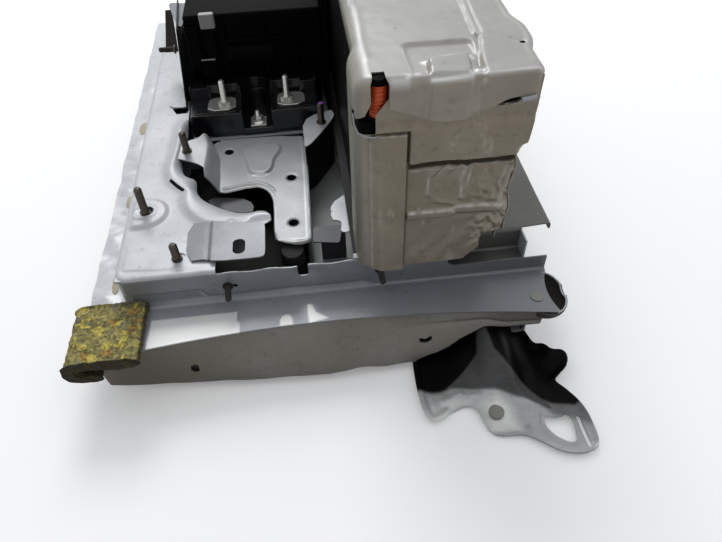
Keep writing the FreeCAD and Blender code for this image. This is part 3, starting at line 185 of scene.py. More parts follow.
def coat(piece, amount, kind="coat"):
    """Painted shade and painted highlights on part of a sheet: their share at each point, which the sheet's
    material reads.
    """
    mesh = piece.data
    points = np.empty(len(mesh.vertices) * 3)
    mesh.vertices.foreach_get("co", points)
    share = np.clip(amount(*(points.reshape(-1, 3).T * 1000)), 0, 1)
    mesh.attributes.new(kind, "FLOAT", "POINT").data.foreach_set("value", share)
    return piece


def grid_lines(*spans):
    """Grid lines in stretches: (start, end, step), each stretch starting where the last ended."""
    lines = [np.array([spans[0][0]], float)]
    for start, end, step in spans:
        count = max(1, round(abs(end - start) / step))
        lines.append(np.linspace(start, end, count + 1)[1:])
    return np.concatenate(lines)


def path_lengths(points):
    """Length along a path up to each of its points."""
    return np.concatenate([[0], np.cumsum(np.hypot(*np.diff(points, axis=0).T))])


def slopes(distance, u, v, h):
    """How fast a distance grows along u and along v."""
    gu = (distance(u + h, v) - distance(u - h, v)) / (2 * h)
    gv = (distance(u, v + h) - distance(u, v - h)) / (2 * h)
    return gu, gv


def grid_quads(index):
    """The four corners of each cell of a grid of point numbers."""
    return np.stack([index[:-1, :-1], index[1:, :-1], index[1:, 1:], index[:-1, 1:]], axis=-1)


def smooth_normals(points, quads):
    """Normal at each point: the sum of its quads' cross products."""
    a, b, c, d = (points[quads[:, i]] for i in range(4))
    facing = np.cross(c - a, d - b)
    normals = np.zeros_like(points)
    for i in range(4):
        np.add.at(normals, quads[:, i], facing)
    return normals / (np.linalg.norm(normals, axis=1, keepdims=True) + 1e-12)


def shell_of(points, quads, gauge):
    """A closed sheet: the given face, the same face one gauge behind it, and its rims."""
    normals = smooth_normals(points, quads)
    count = len(points)
    vertices = np.concatenate([points, points - normals * gauge])
    edges = np.concatenate([quads[:, [i, (i + 1) % 4]] for i in range(4)])
    keys = np.sort(edges, axis=1)
    _, first, counts = np.unique(keys[:, 0].astype(np.int64) * count + keys[:, 1],
                                 return_index=True, return_counts=True)
    rim = edges[first[counts == 1]]
    rims = np.stack([rim[:, 1], rim[:, 0], rim[:, 0] + count, rim[:, 1] + count], axis=1)
    return vertices, np.concatenate([quads, quads[:, ::-1] + count, rims])


def trimmed_grid(us, vs, inside):
    """Grid points and quads on the metal; the edge points are moved onto the distance's zero."""
    u, v = np.meshgrid(us, vs, indexing="ij")
    step_u = np.gradient(us)[:, None] + 0 * v
    step_v = np.gradient(vs)[None, :] + 0 * u
    cell = np.minimum(step_u, step_v)
    on = inside(u, v) < -0.35 * cell
    kept = on[:-1, :-1] | on[1:, :-1] | on[:-1, 1:] | on[1:, 1:]
    touched = np.zeros_like(on)
    for du, dv in ((0, 0), (1, 0), (0, 1), (1, 1)):
        touched[du:du + kept.shape[0], dv:dv + kept.shape[1]] |= kept
    edge = touched & ~on
    pu, pv = u[edge], v[edge]
    for _ in range(5):
        d = inside(pu, pv)
        gu, gv = slopes(inside, pu, pv, 0.05)
        scale = np.clip(d / (gu * gu + gv * gv + 1e-6), -3, 3)
        pu, pv = pu - gu * scale, pv - gv * scale
    limit_u, limit_v = step_u[edge] * 1.6, step_v[edge] * 1.6
    u[edge] = np.clip(pu, u[edge] - limit_u, u[edge] + limit_u)
    v[edge] = np.clip(pv, v[edge] - limit_v, v[edge] + limit_v)
    index = np.full(on.shape, -1)
    index[touched] = np.arange(touched.sum())
    return u[touched], v[touched], grid_quads(index)[kept]


def pressed_sheet(name, us, vs, inside, place, gauge, material, flip=False):
    """A trimmed sheet. place(u, v) gives the three coordinates of its outer face."""
    u, v, quads = trimmed_grid(us, vs, inside)
    points = np.stack(place(u, v), axis=1)
    if flip:
        quads = quads[:, ::-1]
    vertices, faces = shell_of(points, quads, gauge)
    return make_piece(name, vertices, faces, material)


def turned(name, profile, centre, axis, material, sides=32):
    """A profile of (radius, height) turned round an axis; the ends are closed with caps."""
    profile = np.asarray(profile, float)
    angles = np.linspace(0, 2 * math.pi, sides, endpoint=False)
    r, h = profile[:, :1], profile[:, 1:]
    local = np.stack([r * np.cos(angles), r * np.sin(angles), h + 0 * angles], axis=-1)
    local = local.reshape(-1, 3)
    axis = np.asarray(axis, float)
    first = np.cross([0, 1, 0.01] if abs(axis[1]) < 0.9 else [1, 0, 0.01], axis)
    first /= np.linalg.norm(first)
    second = np.cross(axis, first)
    points = (local[:, :1] * first + local[:, 1:2] * second + local[:, 2:] * axis
              + np.asarray(centre, float))
    rows = len(profile)
    ring = np.arange(sides)
    faces = []
    for row in range(rows - 1):
        a, b = row * sides + ring, row * sides + (ring + 1) % sides
        faces.append(np.stack([a, b, b + sides, a + sides], axis=1))
    faces = np.concatenate(faces).tolist()
    faces.append((ring[::-1]).tolist())
    faces.append(((rows - 1) * sides + ring).tolist())
    return make_piece(name, points, faces, material)


def threaded_stud(name, root, axis, radius, length, pitch, material, collar):
    """A stud: flat root, thread as close rings of the pitch, bevelled tip; collar is the root's
    radius and height."""
    root_radius, root_height = collar
    profile = [(root_radius, 0), (root_radius, root_height - 0.3), (root_radius - 0.3, root_height),
               (radius, root_height + 0.02)]
    for height in np.arange(root_height + pitch * 0.6, length - radius * 0.5 - pitch, pitch):
        profile += [(radius - 0.02, height), (radius - pitch * 0.45, height + pitch * 0.42),
                    (radius - 0.02, height + pitch * 0.84)]
    profile += [(radius - 0.05, length - radius * 0.5), (radius * 0.72, length - 0.3),
                (radius * 0.62, length)]
    return turned(name, profile, root, axis, material, sides=24)


def boxed(name, low, high, material, bevel, segments=3):
    """A box with rounded edges."""
    (x0, y0, z0), (x1, y1, z1) = low, high
    points = [(x, y, z) for x in (x0, x1) for y in (y0, y1) for z in (z0, z1)]
    faces = [(0, 1, 3, 2), (4, 6, 7, 5), (0, 4, 5, 1), (2, 3, 7, 6), (0, 2, 6, 4), (1, 5, 7, 3)]
    return round_over(make_piece(name, points, faces, material), bevel, segments)


def round_over(piece, width, segments=3):
    """Rounded edges on a piece."""
    modifier = piece.modifiers.new("round", "BEVEL")
    modifier.width = width / 1000
    modifier.segments = segments
    modifier.limit_method = "ANGLE"
    modifier.angle_limit = math.radians(35)
    modifier.harden_normals = True
    return piece


def colour(hex_text):
    """An sRGB hex colour as linear light."""
    values = [int(hex_text[i:i + 2], 16) / 255 for i in (1, 3, 5)]
    return [v / 12.92 if v <= 0.04045 else ((v + 0.055) / 1.055) ** 2.4 for v in values] + [1.0]


def feed(tree, socket, value):
    """Give an input socket a value, or a link from another node's output."""
    if isinstance(value, bpy.types.NodeSocket):
        tree.links.new(value, socket)
    else:
        socket.default_value = value


def add_node(tree, kind, settings=(), **links):
    """One shader node with its settings; links give input sockets a value or another output."""
    node = tree.nodes.new(kind)
    for key, value in dict(settings).items():
        setattr(node, key, value)
    for key, value in links.items():
        numbered = key[0] == "i" and key[1:].isdigit()
        feed(tree, node.inputs[int(key[1:]) if numbered else key.replace("_", " ")], value)
    return node


def new_material(name):
    """A material, its node tree and its main shader."""
    material = bpy.data.materials.new(name)
    material.use_nodes = True
    tree = material.node_tree
    return material, tree, tree.nodes["Principled BSDF"]


def mix_colours(tree, factor, first, second):
    """A blend of two colours or colour outputs."""
    node = tree.nodes.new("ShaderNodeMix")
    node.data_type = "RGBA"
    for index, value in ((0, factor), (6, first), (7, second)):
        feed(tree, node.inputs[index], value)
    return node.outputs[2]


def part_of(tree, vector, axis):
    """One coordinate of a vector."""
    return add_node(tree, "ShaderNodeSeparateXYZ", Vector=vector).outputs[axis]


def stretch(tree, source, low, high, to_low=0.0, to_high=1.0):
    """A value rescaled from one range to another, with its ends held."""
    node = add_node(tree, "ShaderNodeMapRange", Value=source, From_Min=low, From_Max=high,
                    To_Min=to_low, To_Max=to_high)
    return node.outputs[0]


def noise(tree, vector, size_mm, detail=3.0, rough=0.55, stretch_by=None):
    """Noise whose grains are about the given size."""
    if stretch_by:
        vector = add_node(tree, "ShaderNodeMapping", Vector=vector, Scale=stretch_by).outputs[0]
    return add_node(tree, "ShaderNodeTexNoise", Vector=vector, Scale=1000 / size_mm,
                    Detail=detail, Roughness=rough).outputs[0]


# dusty grime, dark specks, rubbed strokes, painted highlights and painted black shade on the sheets
GRIME, SPECKS, RUBBED, BARE, UNDERCOAT = "#4b4842", "#2e2b28", "#e4ddcf", "#f4f4f2", "#0b0b0c"


def sheet_steel(name, base, dark, metallic, rough, grime, spots, brush=(1, 8, 8), bump=0.05, coat=None,
                facing=(), rubbed=0.0, along=None, worn=False):
    """Bare sheet steel: mottled base, dusty grime in soft clouds, dark specks, faint rolling lines.
    facing gives other colours to faces that look along -X or -Y; rubbed adds bright strokes; along
    is a colour that sets in from one place (m) on an axis to another; painted highlights, near white,
    and painted shade, in the dark colour given, are laid on where the sheet's attributes for them say."""
    material, tree, shader = new_material(name)
    place = tree.nodes.new("ShaderNodeTexCoord").outputs["Object"]
    cloud = noise(tree, place, 90, 4, 0.6)
    fine = noise(tree, place, 9, 5, 0.65)
    speck = noise(tree, place, 5, 2, 0.5)
    rolling = noise(tree, place, 26, 4, 0.6, brush)
    tone = mix_colours(tree, stretch(tree, cloud, 0.35, 0.68), colour(base), colour(dark))
    turned_to = tree.nodes.new("ShaderNodeTexCoord").outputs["Normal"]
    # faces turned along -X or -Y take other colours; on the cover the darker -X side is painted shade
    for axis, side, side_dark in facing:
        other = mix_colours(tree, stretch(tree, cloud, 0.35, 0.68), colour(side), colour(side_dark))
        share = stretch(tree, part_of(tree, turned_to, axis), -0.35, -0.85)
        tone = mix_colours(tree, share, tone, other)
    tone = mix_colours(tree, stretch(tree, rolling, 0.42, 0.66, 0, 0.25), tone, colour(dark))
    if rubbed:
        stroke = noise(tree, place, 14, 4, 0.6, (1, 1, 0.4))
        tone = mix_colours(tree, stretch(tree, stroke, 0.6, 0.7, 0, rubbed), tone, colour(RUBBED))
    dirt = stretch(tree, fine, 0.56, 0.78, 0, grime)
    tone = mix_colours(tree, dirt, tone, colour(GRIME))
    dots = stretch(tree, speck, 0.715, 0.76, 0, spots)
    tone = mix_colours(tree, dots, tone, colour(SPECKS))
    # along: painted shadow on the ledge, painted light on the bridge's back, a browner left end on the apron
    if along:
        axis, start, end, far = along
        share = stretch(tree, part_of(tree, place, axis), start, end, 0, 0.85)
        tone = mix_colours(tree, share, tone, colour(far))
    # painted highlights: near white where the sheet's attribute for them says
    if worn:
        mask = add_node(tree, "ShaderNodeAttribute", {"attribute_name": "worn"}).outputs["Fac"]
        tone = mix_colours(tree, mask, tone, colour(BARE))
    # painted shade: a dark colour, with less metal and sheen, where the sheet's attribute for it says
    if coat:
        mask = add_node(tree, "ShaderNodeAttribute", {"attribute_name": "coat"}).outputs["Fac"]
        tone = mix_colours(tree, mask, tone, colour(coat))
    tree.links.new(tone, shader.inputs["Base Color"])
    shader.inputs["Metallic"].default_value = metallic
    if coat:
        tree.links.new(stretch(tree, mask, 0, 1, metallic, 0), shader.inputs["Metallic"])
        tree.links.new(stretch(tree, mask, 0, 1, 0.5, 0.06), shader.inputs["Specular IOR Level"])
    tree.links.new(stretch(tree, cloud, 0.3, 0.7, rough - 0.06, rough + 0.1),
                   shader.inputs["Roughness"])
    height = add_node(tree, "ShaderNodeBump", Strength=bump, Distance=0.0006, Height=cloud)
    grain = add_node(tree, "ShaderNodeBump", Strength=bump * 1.6, Distance=0.0002, Height=fine,
                     Normal=height.outputs[0])
    tree.links.new(grain.outputs[0], shader.inputs["Normal"])
    return material


# galvanised sheet of the case: pale grey zinc, dull sheen, dust and small dark specks
GALVANISED = sheet_steel("galvanised_sheet", "#cfd2d5", "#bcbfc3", 0.12, 0.36, 0.35, 0.7)
# the same sheet on the front wall and the ledge, a little smoother: darker as painted shade, darker still to
# the right as the cover's painted shadow; painted light patches on the ledge
LEDGE_SHEET = sheet_steel("galvanised_sheet_painted_shade", "#a5a9af", "#93969c", 0.12, 0.38, 0.3, 0.6,
                          along=("X", 0.06, 0.17, "#7b7e83"), worn=True)
# the deck right of the cover: a dark grey
PLATE_SHEET = sheet_steel("dark_deck_sheet", "#646361", "#565552", 0.12, 0.42, 0.3, 0.5)
# thin cover sheet: a little warmer and darker; faces looking along -X darker as painted shade, along -Y
# warmer brown; painted black shade and painted highlights where its attributes say
COVER_SHEET = sheet_steel("cover_sheet_steel", "#b0afac", "#9f9d99", 0.15, 0.34, 0.3, 0.3,
                          coat=UNDERCOAT, worn=True,
                          facing=(("Y", "#bab1a1", "#a59c8c"), ("X", "#a19e90", "#8f8c7e")))
# end panel: the same sheet, stained brownish and streaked; darker brown as painted shade under its upper
# field and bead, painted highlights on its ridges
END_SHEET = sheet_steel("stained_end_sheet", "#b2a693", "#998e7c", 0.15, 0.32, 0.5, 0.4,
                        brush=(1, 1, 6), bump=0.12, coat="#4d463a", rubbed=0.4, worn=True)
# apron: the same sheet as the case, darker and warmer, browner towards its left end
APRON_SHEET = sheet_steel("apron_galvanised_sheet", "#96938c", "#827d73", 0.12, 0.4, 0.5, 0.4,
                          along=("X", -0.04, -0.2, "#675f4b"))
# brackets: thicker pickled sheet, cool grey
BRACKET_SHEET = sheet_steel("bracket_sheet_steel", "#8b8e92", "#7d8084", 0.15, 0.36, 0.3, 0.3)
# bridge: the same sheet, lighter towards the back as painted light where the housing shades it; painted
# highlights along its beads
BRIDGE_SHEET = sheet_steel("bridge_sheet_steel", "#9b9ea0", "#8c8f93", 0.15, 0.32, 0.3, 0.3,
                           along=("Y", -0.09, 0.01, "#d2d5d7"), worn=True)
# leg: the same sheet, thicker, mottled; black as painted shade in its valleys, painted highlights on its
# toe, boss and rims
LEG_SHEET = sheet_steel("leg_sheet_steel", "#c2c3c4", "#939495", 0.2, 0.34, 0.5, 0.5, coat=UNDERCOAT,
                        worn=True)


def plain(name, base, metallic, rough, bump=None, sheen=0.5):
    """A single-colour material with a fine surface grain; sheen is its specular level."""
    material, tree, shader = new_material(name)
    shader.inputs["Base Color"].default_value = colour(base)
    shader.inputs["Metallic"].default_value = metallic
    shader.inputs["Roughness"].default_value = rough
    shader.inputs["Specular IOR Level"].default_value = sheen
    if bump:
        size_mm, strength = bump
        place = tree.nodes.new("ShaderNodeTexCoord").outputs["Object"]
        node = add_node(tree, "ShaderNodeBump", Strength=strength, Distance=0.0004,
                        Height=noise(tree, place, size_mm, 3))
        tree.links.new(node.outputs[0], shader.inputs["Normal"])
    return material


# moulded black glass-filled nylon: satin, deep black
NYLON = plain("black_nylon", "#191b1f", 0.0, 0.24, bump=(1.2, 0.1), sheen=0.5)
# the housing's mould-textured nylon: deeper and duller
DEEP_NYLON = plain("textured_black_nylon", "#020203", 0.0, 0.6, bump=(1.0, 0.15), sheen=0.04)
# black painted steel of the upright; the same black is painted shade on the gusset's wall and on the deck
# beside the cover's left side
BLACK_PAINT = plain("black_paint_and_painted_shade", "#0d0e10", 0.0, 0.5, bump=(3, 0.1), sheen=0.2)
# the sheet behind the upright: dark brownish grey
BROWN_PRIMER = plain("dark_brown_grey_steel", "#47433c", 0.0, 0.6, bump=(3, 0.1), sheen=0.3)
# the upright's top flange: thinner, bluish paint
BLUE_PAINT = plain("bluish_painted_steel", "#6e737b", 0.1, 0.4, bump=(3, 0.1))
# zinc-plated steel of the studs: brownish passivation
STUD_STEEL = plain("passivated_stud_steel", "#4b443d", 0.7, 0.38)
# bright zinc nut and washer
BRIGHT_ZINC = plain("bright_zinc", "#dcdcd8", 0.6, 0.22)
# tinned copper plates: dull silver
TINNED = plain("tinned_copper", "#cfcfca", 0.6, 0.22, bump=(3, 0.4))
# grey of the latch's face as painted light on a black latch, and of the step's thin edge as a painted
# highlight
GREY_NYLON = plain("grey_nylon_painted_light", "#a9a9a6", 0.0, 0.45)
# orange conduit polyamide
ORANGE = plain("orange_polyamide", "#ff6a26", 0.0, 0.35)
# inside of the closing channel: dark brown as painted shade
MOUTH_BROWN = plain("channel_steel_painted_shade", "#3a352f", 0.1, 0.7, bump=(5, 0.3))
# galvanised sheet in the bay's shade
DARK_SHEET = plain("shaded_galvanised_sheet", "#4c4d50", 0.3, 0.5, bump=(6, 0.1))
# plain aluminium of the inner boxes and end plates
ALUMINIUM = plain("mill_aluminium", "#b8babc", 0.9, 0.35)
# sheet steel of the bay's inner shelf, dark grey as painted shade
SHADED_SHEET = plain("bay_shelf_painted_shade", "#55565a", 0.0, 0.5)
# painted shade: black put deep in slots and holes
SHADOW_NYLON = plain("painted_shade_black_nylon", "#050505", 0.0, 0.7)
# flush plugs of the leg and the ledge
PLUG_GREY = plain("plug_grey_plastic", "#8f8d88", 0.0, 0.5)
# violet paint mark on one stud's tip
VIOLET = plain("violet_marking_paint", "#8e3bb5", 0.0, 0.5)
# the front wall's studs: blackened
DARK_STUD = plain("black_oxide_steel", "#24211f", 0.6, 0.45)
# drops of sealant on the side flange
SEALANT = plain("beige_sealant", "#b5ab93", 0.0, 0.6, bump=(4, 0.5))
# shrink sleeve of the cells
CELL_SLEEVE = plain("cell_sleeve", "#26406e", 0.0, 0.4)


def pan_material():
    """Bay pan: almost black on the left as painted shade, grey sheet from the bridge to the right."""
    material, tree, shader = new_material("bay_pan_steel")
    place = tree.nodes.new("ShaderNodeTexCoord").outputs["Object"]
    bare = stretch(tree, part_of(tree, place, "X"), -0.012, -0.008)
    # painted shade: almost black left of the bridge
    tone = mix_colours(tree, bare, colour("#0c0c0d"), colour("#a2a3a2"))
    tree.links.new(tone, shader.inputs["Base Color"])
    tree.links.new(stretch(tree, bare, 0, 1, 0.05, 0.4), shader.inputs["Specular IOR Level"])
    shader.inputs["Roughness"].default_value = 0.5
    return material


PAN_SHEET = pan_material()


def foam_material():
    """Bonded chip foam: straw-coloured chips among yellow, ochre, grey-green and brown ones, dark
    crumbs between; its right and front ends and its lower layer are painted deep brown as shade."""
    material, tree, shader = new_material("bonded_chip_foam")
    place = tree.nodes.new("ShaderNodeTexCoord").outputs["Object"]
    cells = add_node(tree, "ShaderNodeTexVoronoi", Vector=place, Scale=1000 / 6.5)
    crumb = noise(tree, place, 3.2, 6, 0.8)
    chips = add_node(tree, "ShaderNodeSeparateColor", i0=cells.outputs["Color"])
    dirt = noise(tree, place, 14, 6, 0.7)
    tone = mix_colours(tree, chips.outputs[0], colour("#b5aa68"), colour("#8f8758"))
    for output, low, high, chip in ((1, 0.86, 0.88, "#ddcb5c"), (2, 0.96, 0.97, "#c4974c"),
                                    (2, 0.04, 0.03, "#8a978f"), (1, 0.08, 0.06, "#77706a")):
        share = stretch(tree, chips.outputs[output], low, high, 0, 0.8)
        tone = mix_colours(tree, share, tone, colour(chip))
    tone = mix_colours(tree, stretch(tree, crumb, 0.46, 0.58, 0, 0.8), tone, colour("#3d3820"))
    tone = mix_colours(tree, stretch(tree, dirt, 0.52, 0.66, 0, 0.7), tone, colour("#2e2a1a"))
    # painted shade: the right end, the front end and the lower layer darken to deep brown
    for axis, low, high in (("X", -0.1702, -0.1692), ("Y", -0.2895, -0.2912), ("Z", 0.0516, 0.0506)):
        share = stretch(tree, part_of(tree, place, axis), low, high, 0, 0.85)
        tone = mix_colours(tree, share, tone, colour("#1c180f"))
    tree.links.new(tone, shader.inputs["Base Color"])
    shader.inputs["Roughness"].default_value = 0.95
    bump = add_node(tree, "ShaderNodeBump", Strength=0.9, Distance=0.002, Height=dirt)
    tree.links.new(bump.outputs[0], shader.inputs["Normal"])
    return material


FOAM = foam_material()


DECK, LEDGE = 100.0, 60.0                  # heights of the deck and the ledge
# sheet thickness of the case and brackets, of the cover and the trough, and of the leg
GAUGE, THIN_GAUGE, LEG_GAUGE = 1.5, 1.2, 2.0
EARTH_X = -57.5                            # middle of the terminal block's earth slot
LEFT, FRONT, BACK = -192.0, -224.0, 376.0  # sides of the deck
FLANGE, REAR_FLANGE = -226.0, 400.0        # outer edges of the left and the rear flange
# the bay's hole in the deck: the lower edge of its rolled rim, and the roll's highest line
BAY = soft_path([(20, -222), (32, -222), (32, -210), (32, 338), (-141, 338), (-141, -10),
                 (-143, -30), (-144, -48), (-140, -64), (-132, -72), (-126, -74), (-125, -84),
                 (-124, -96), (-117, -110), (-105, -120), (-94, -128), (-80, -136), (-66, -141),
                 (-56, -138), (-45, -143), (-45, -166), (-98, -168), (-98, -214), (-98, -222),
                 (-88, -222)], 1)
RIM = soft_path([(60, -260), (60, 350), (-147, 345), (-148, -8), (-150, -40), (-153, -54),
                 (-152, -68), (-146, -84), (-136, -95), (-130, -103), (-131, -116), (-128, -128),
                 (-122, -139), (-113, -149), (-101, -156), (-83, -160), (-70, -161), (-64, -152),
                 (-44, -151), (-30, -160), (-30, -260)], 1)


# the slit that the cover's top and its end panel share, as (x, z)
COVER_SLIT = [(138, 261.5), (157, 264.0), (159.5, 266), (159, 269), (150, 267.5)]


def bend(distance, radius):
    """How far out and how far down a sheet lies past the start of a bend: a quarter circle, then
    straight down."""
    quarter = radius * math.pi / 2
    a = np.clip(distance, 0, quarter) / radius
    return radius * np.sin(a), radius * (1 - np.cos(a)) + np.maximum(distance - quarter, 0)


def bend_and_foot(distance, height, radius, foot_radius):
    """The same with a foot: it rounds out again at the given height below and runs flat."""
    quarter, foot_quarter = radius * math.pi / 2, foot_radius * math.pi / 2
    fall = height - radius - foot_radius
    out, down = bend(np.minimum(distance, quarter + fall), radius)
    b = np.clip(distance - quarter - fall, 0, foot_quarter) / foot_radius
    out = out + foot_radius * (1 - np.cos(b))
    down = down + foot_radius * np.sin(b)
    return out + np.maximum(distance - quarter - fall - foot_quarter, 0), down


def heading(distance, u, v, h=0.02):
    """Unit direction in which a distance grows."""
    gu, gv = slopes(distance, u, v, h)
    length = np.hypot(gu, gv) + 1e-9
    return gu / length, gv / length


def smooth_table(x, y, xs, ys, heights):
    """Heights given at a few lines across and along, joined by cubic curves through them."""
    def weights(t, knots):
        knots = np.asarray(knots, float)
        k = np.clip(np.searchsorted(knots, t) - 1, 0, len(knots) - 2)
        s = np.clip((t - knots[k]) / (knots[k + 1] - knots[k]), 0, 1)
        basis = np.stack([-s ** 3 + 2 * s ** 2 - s, 3 * s ** 3 - 5 * s ** 2 + 2,
                          -3 * s ** 3 + 4 * s ** 2 + s, s ** 3 - s ** 2]) / 2
        rows = np.clip(np.stack([k - 1, k, k + 1, k + 2]), 0, len(knots) - 1)
        return basis, rows
    wx, ix = weights(x, xs)
    wy, iy = weights(y, ys)
    heights = np.asarray(heights, float)
    return sum(wy[j] * wx[i] * heights[iy[j], ix[i]] for i in range(4) for j in range(4))


def bump(x, y, centre_x, centre_y, reach_x, reach_y=None):
    """A soft mound of height 1."""
    reach_y = reach_y or reach_x
    return np.exp(-((x - centre_x) / reach_x) ** 2 - ((y - centre_y) / reach_y) ** 2)


def ledge_front(x):
    """The ledge's hollow front edge: an arc, deepest near the middle."""
    return -283 + 20.0 * (1 - ((x + 1.5) / 224.5) ** 2)


def deck_sheet():
    """Deck, left and front walls, side flange and ledge in one pressing. The grid is unrolled: past
    the deck's outline its distance is sheet length, carried down the wall and out along the foot."""
    radius, foot_radius, height = 4.0, 3.0, DECK - LEDGE
    foot_start = (radius + foot_radius) * math.pi / 2 + height - radius - foot_radius

    def outline(u, v):
        return box_distance(u, v, LEFT + radius, 600, FRONT + radius, BACK - radius, 9.0)

    def spread(u, v):
        d = outline(u, v)
        nu, nv = heading(outline, u, v)
        out, down = bend_and_foot(np.maximum(d, 0), height, radius, foot_radius)
        shift = np.where(d > 0, d - out, 0)
        return u - nu * shift, v - nv * shift, down, d, nu, nv

    def lift(x, y, d):
        """Pad and ring round the rear stud, rolled bay rim, gentle unevenness; welds on the flange."""
        on_deck = fade(d, -6, -1)
        pad = blend_union(disc_distance(x, y, -171.7, -131.3, 24),
                          box_distance(x, y, -215, -172, -154, -108, 8), 8)
        rise = 3.0 * fade(pad, -6, 1)
        ring = disc_distance((x + 173.5) * 0.8, y + 131.3, 0, 0, 9.5)
        rise = rise + 1.3 * bell(ring, 2.2)
        beside = ramp(-x, 30, 44) * ramp(-y, -40, -15)
        crest, hole = path_distance(x, y, RIM), path_distance(x, y, BAY)
        inward = np.maximum(-crest, 0)
        fallen = np.minimum(inward / (np.maximum(hole, 0) + inward + 0.01), 0.99)
        rim = 3.4 * bell(np.maximum(crest, 0), 6.5) - 13 * (1 - np.sqrt(1 - fallen ** 2))
        rise = rise + rim * beside + waves(x, y, 120, 3, 2) * 0.35
        rise = rise + 1.6 * bump(x, y, -84, -161, 4)
        crease = line_distance(x, y, [(-188, -212), (-150, -216), (-118, -218)])
        rise = rise - 0.8 * bell(crease, 2)
        flange = ramp(d, foot_start - 6, foot_start) * ramp(-x, 185, 190)
        knobs = sum(bump(x, y, cx, cy, r) for cx, cy, r in (
            (-212, -205, 6), (-205, -160, 5), (-216, -120, 7), (-208, -78, 5), (-214, -36, 6),
            (-206, 8, 6), (-213, 60, 7), (-208, 120, 6), (-214, 190, 7), (-207, 260, 6)))
        return on_deck * rise + flange * (1.3 * knobs + 0.7 * waves(x, y, 26, 11, 2))

    def place(u, v):
        x, y, down, d, nu, nv = spread(u, v)
        z = DECK - down
        frontal = ramp(-nv, 0.7, 0.95) * ramp(down, 4, 9) * fade(down, 33, 38)
        field = blend_union(box_distance(x, z, -205, -111, 40, 79, 9),
                            box_distance(x, z, -120, 48, 40, 69, 6), 8)
        recess = 1.9 * fade(field, -3, 1) - 0.5 * waves(x, z, 60, 21, 2)
        dent = 1.2 * bump(x, z, -12, 88, 14, 8) - 0.8 * bump(x, z, 80, 78, 30, 8)
        push = frontal * (recess + dent)
        return x - nu * push, y - nv * push, z + lift(x, y, d)

    def inside(u, v):
        x, y, down, d, _, nv = spread(u, v)
        edge = FLANGE + 1.3 * waves(y, y * 0, 60, 5, 2) * ramp(y, -215, -200)
        plan = np.maximum.reduce([x - 223, edge - x, ledge_front(x) - y, y - REAR_FLANGE])
        foot = without(plan, disc_distance(x, y, 277.5, -256.5, 61.5))
        free_edge = box_distance(x, down, -98, 46, -20, 3.2 + 0.8 * np.sin(x / 6), 2)
        notch = box_distance(x, down, -22, -12, -20, 17, 3)
        low_part = path_distance(x, -down, [(116, 10), (118, -2), (125, -23.5), (240, -23), (240, 10)])
        wall = np.where(nv < -0.5, without(x - 223, free_edge, notch, low_part,
                                           disc_distance(x, down, -82.5, 21, 2.8),
                                           disc_distance(x, down, 62, 17.5, 3.4)), -50)
        slit = line_distance(x, y, [(-151, -82), (-143.5, -92.5), (-136.2, -101)]) - 1.8
        deck = without(x - 118, path_distance(x, y, BAY), slit,
                       disc_distance(x, y, -170.2, -131.3, 7), disc_distance(x, y, -133.1, -200, 7),
                       path_distance(x, y, [(-165, 70), (-141, 66), (-144, 53), (-157, 52)]))
        return np.where(d > foot_start - 2, foot, np.where(d > 0, wall, deck))

    us = grid_lines((-266, -206, 2.6), (-206, 40, FINE), (40, 232, 3.5))
    vs = grid_lines((-324, -222, FINE), (-222, 30, FINE), (30, 478, 6))
    sheet = pressed_sheet("deck_pressing", us, vs, inside, place, GAUGE, GALVANISED)
    # painted shade: the front wall and the ledge take the darker sheet
    paint(sheet, LEDGE_SHEET, lambda x, y, z: (z < 97) & (y < -222) & (x > -193))
    # painted shade: black on the deck along the cover's left side
    paint(sheet, BLACK_PAINT, lambda x, y, z: (z > 90) & (y > -218) & (y < 300) & (x > 29) & (x < 60))
    # painted light: bright patches on the ledge where light falls through gaps
    clean = ([(-164.5, -240.8), (-83.6, -240.8), (-84.3, -252), (-81.6, -254), (-81.3, -266),
              (-166, -280)],
             [(-43.5, -263), (-43, -256), (-41, -252), (-37.5, -250.4), (-34, -251.2), (-31.8, -255),
              (-31.4, -263)],
             [(-16.7, -240.5), (-12.4, -240.8), (-8.8, -251), (2.5, -259.5), (-15.7, -263)])

    def wear(x, y, z):
        patches = np.minimum.reduce([path_distance(x, y, patch) for patch in clean])
        return 0.92 * fade(patches, -0.5, 0.9) * fade(z, 64, 67)

    return coat(sheet, wear, "worn")


def right_plate():
    """Darker deck right of the cover. Its front edge is turned down to a step and forward to the
    low wall, its right edge is turned down as a lip. u across and v along are sheet lengths."""
    side_bend, front_bend = 227, -203

    def place(u, v):
        out_x, down_x = bend(np.maximum(u - side_bend, 0), 3.0)
        out_y, down_y = bend_and_foot(np.maximum(front_bend - v, 0), 24.5, 3.0, 2.5)
        uneven = 0.4 * waves(u, v, 50, 35, 2) * ramp(v, front_bend, -196)
        return (np.minimum(u, side_bend) + out_x, np.maximum(v, front_bend) - out_y,
                DECK - down_x - down_y + uneven)

    def inside(u, v):
        front = np.interp(u, [118, 175, 228], [-204.5, -205, -201.5])
        plate = box_distance(u, v, 118, 237.5, front, 374.5, 1.5)
        step = box_distance(u, v, 118, 199, front_bend - 40, -190, 1.0)
        return union(plate, step)

    us = grid_lines((116, 196, 4), (196, 240, 1.6))
    vs = grid_lines((-246, -190, 1.6), (-190, 377, 9))
    return pressed_sheet("right_deck_plate", us, vs, inside, place, GAUGE, PLATE_SHEET)


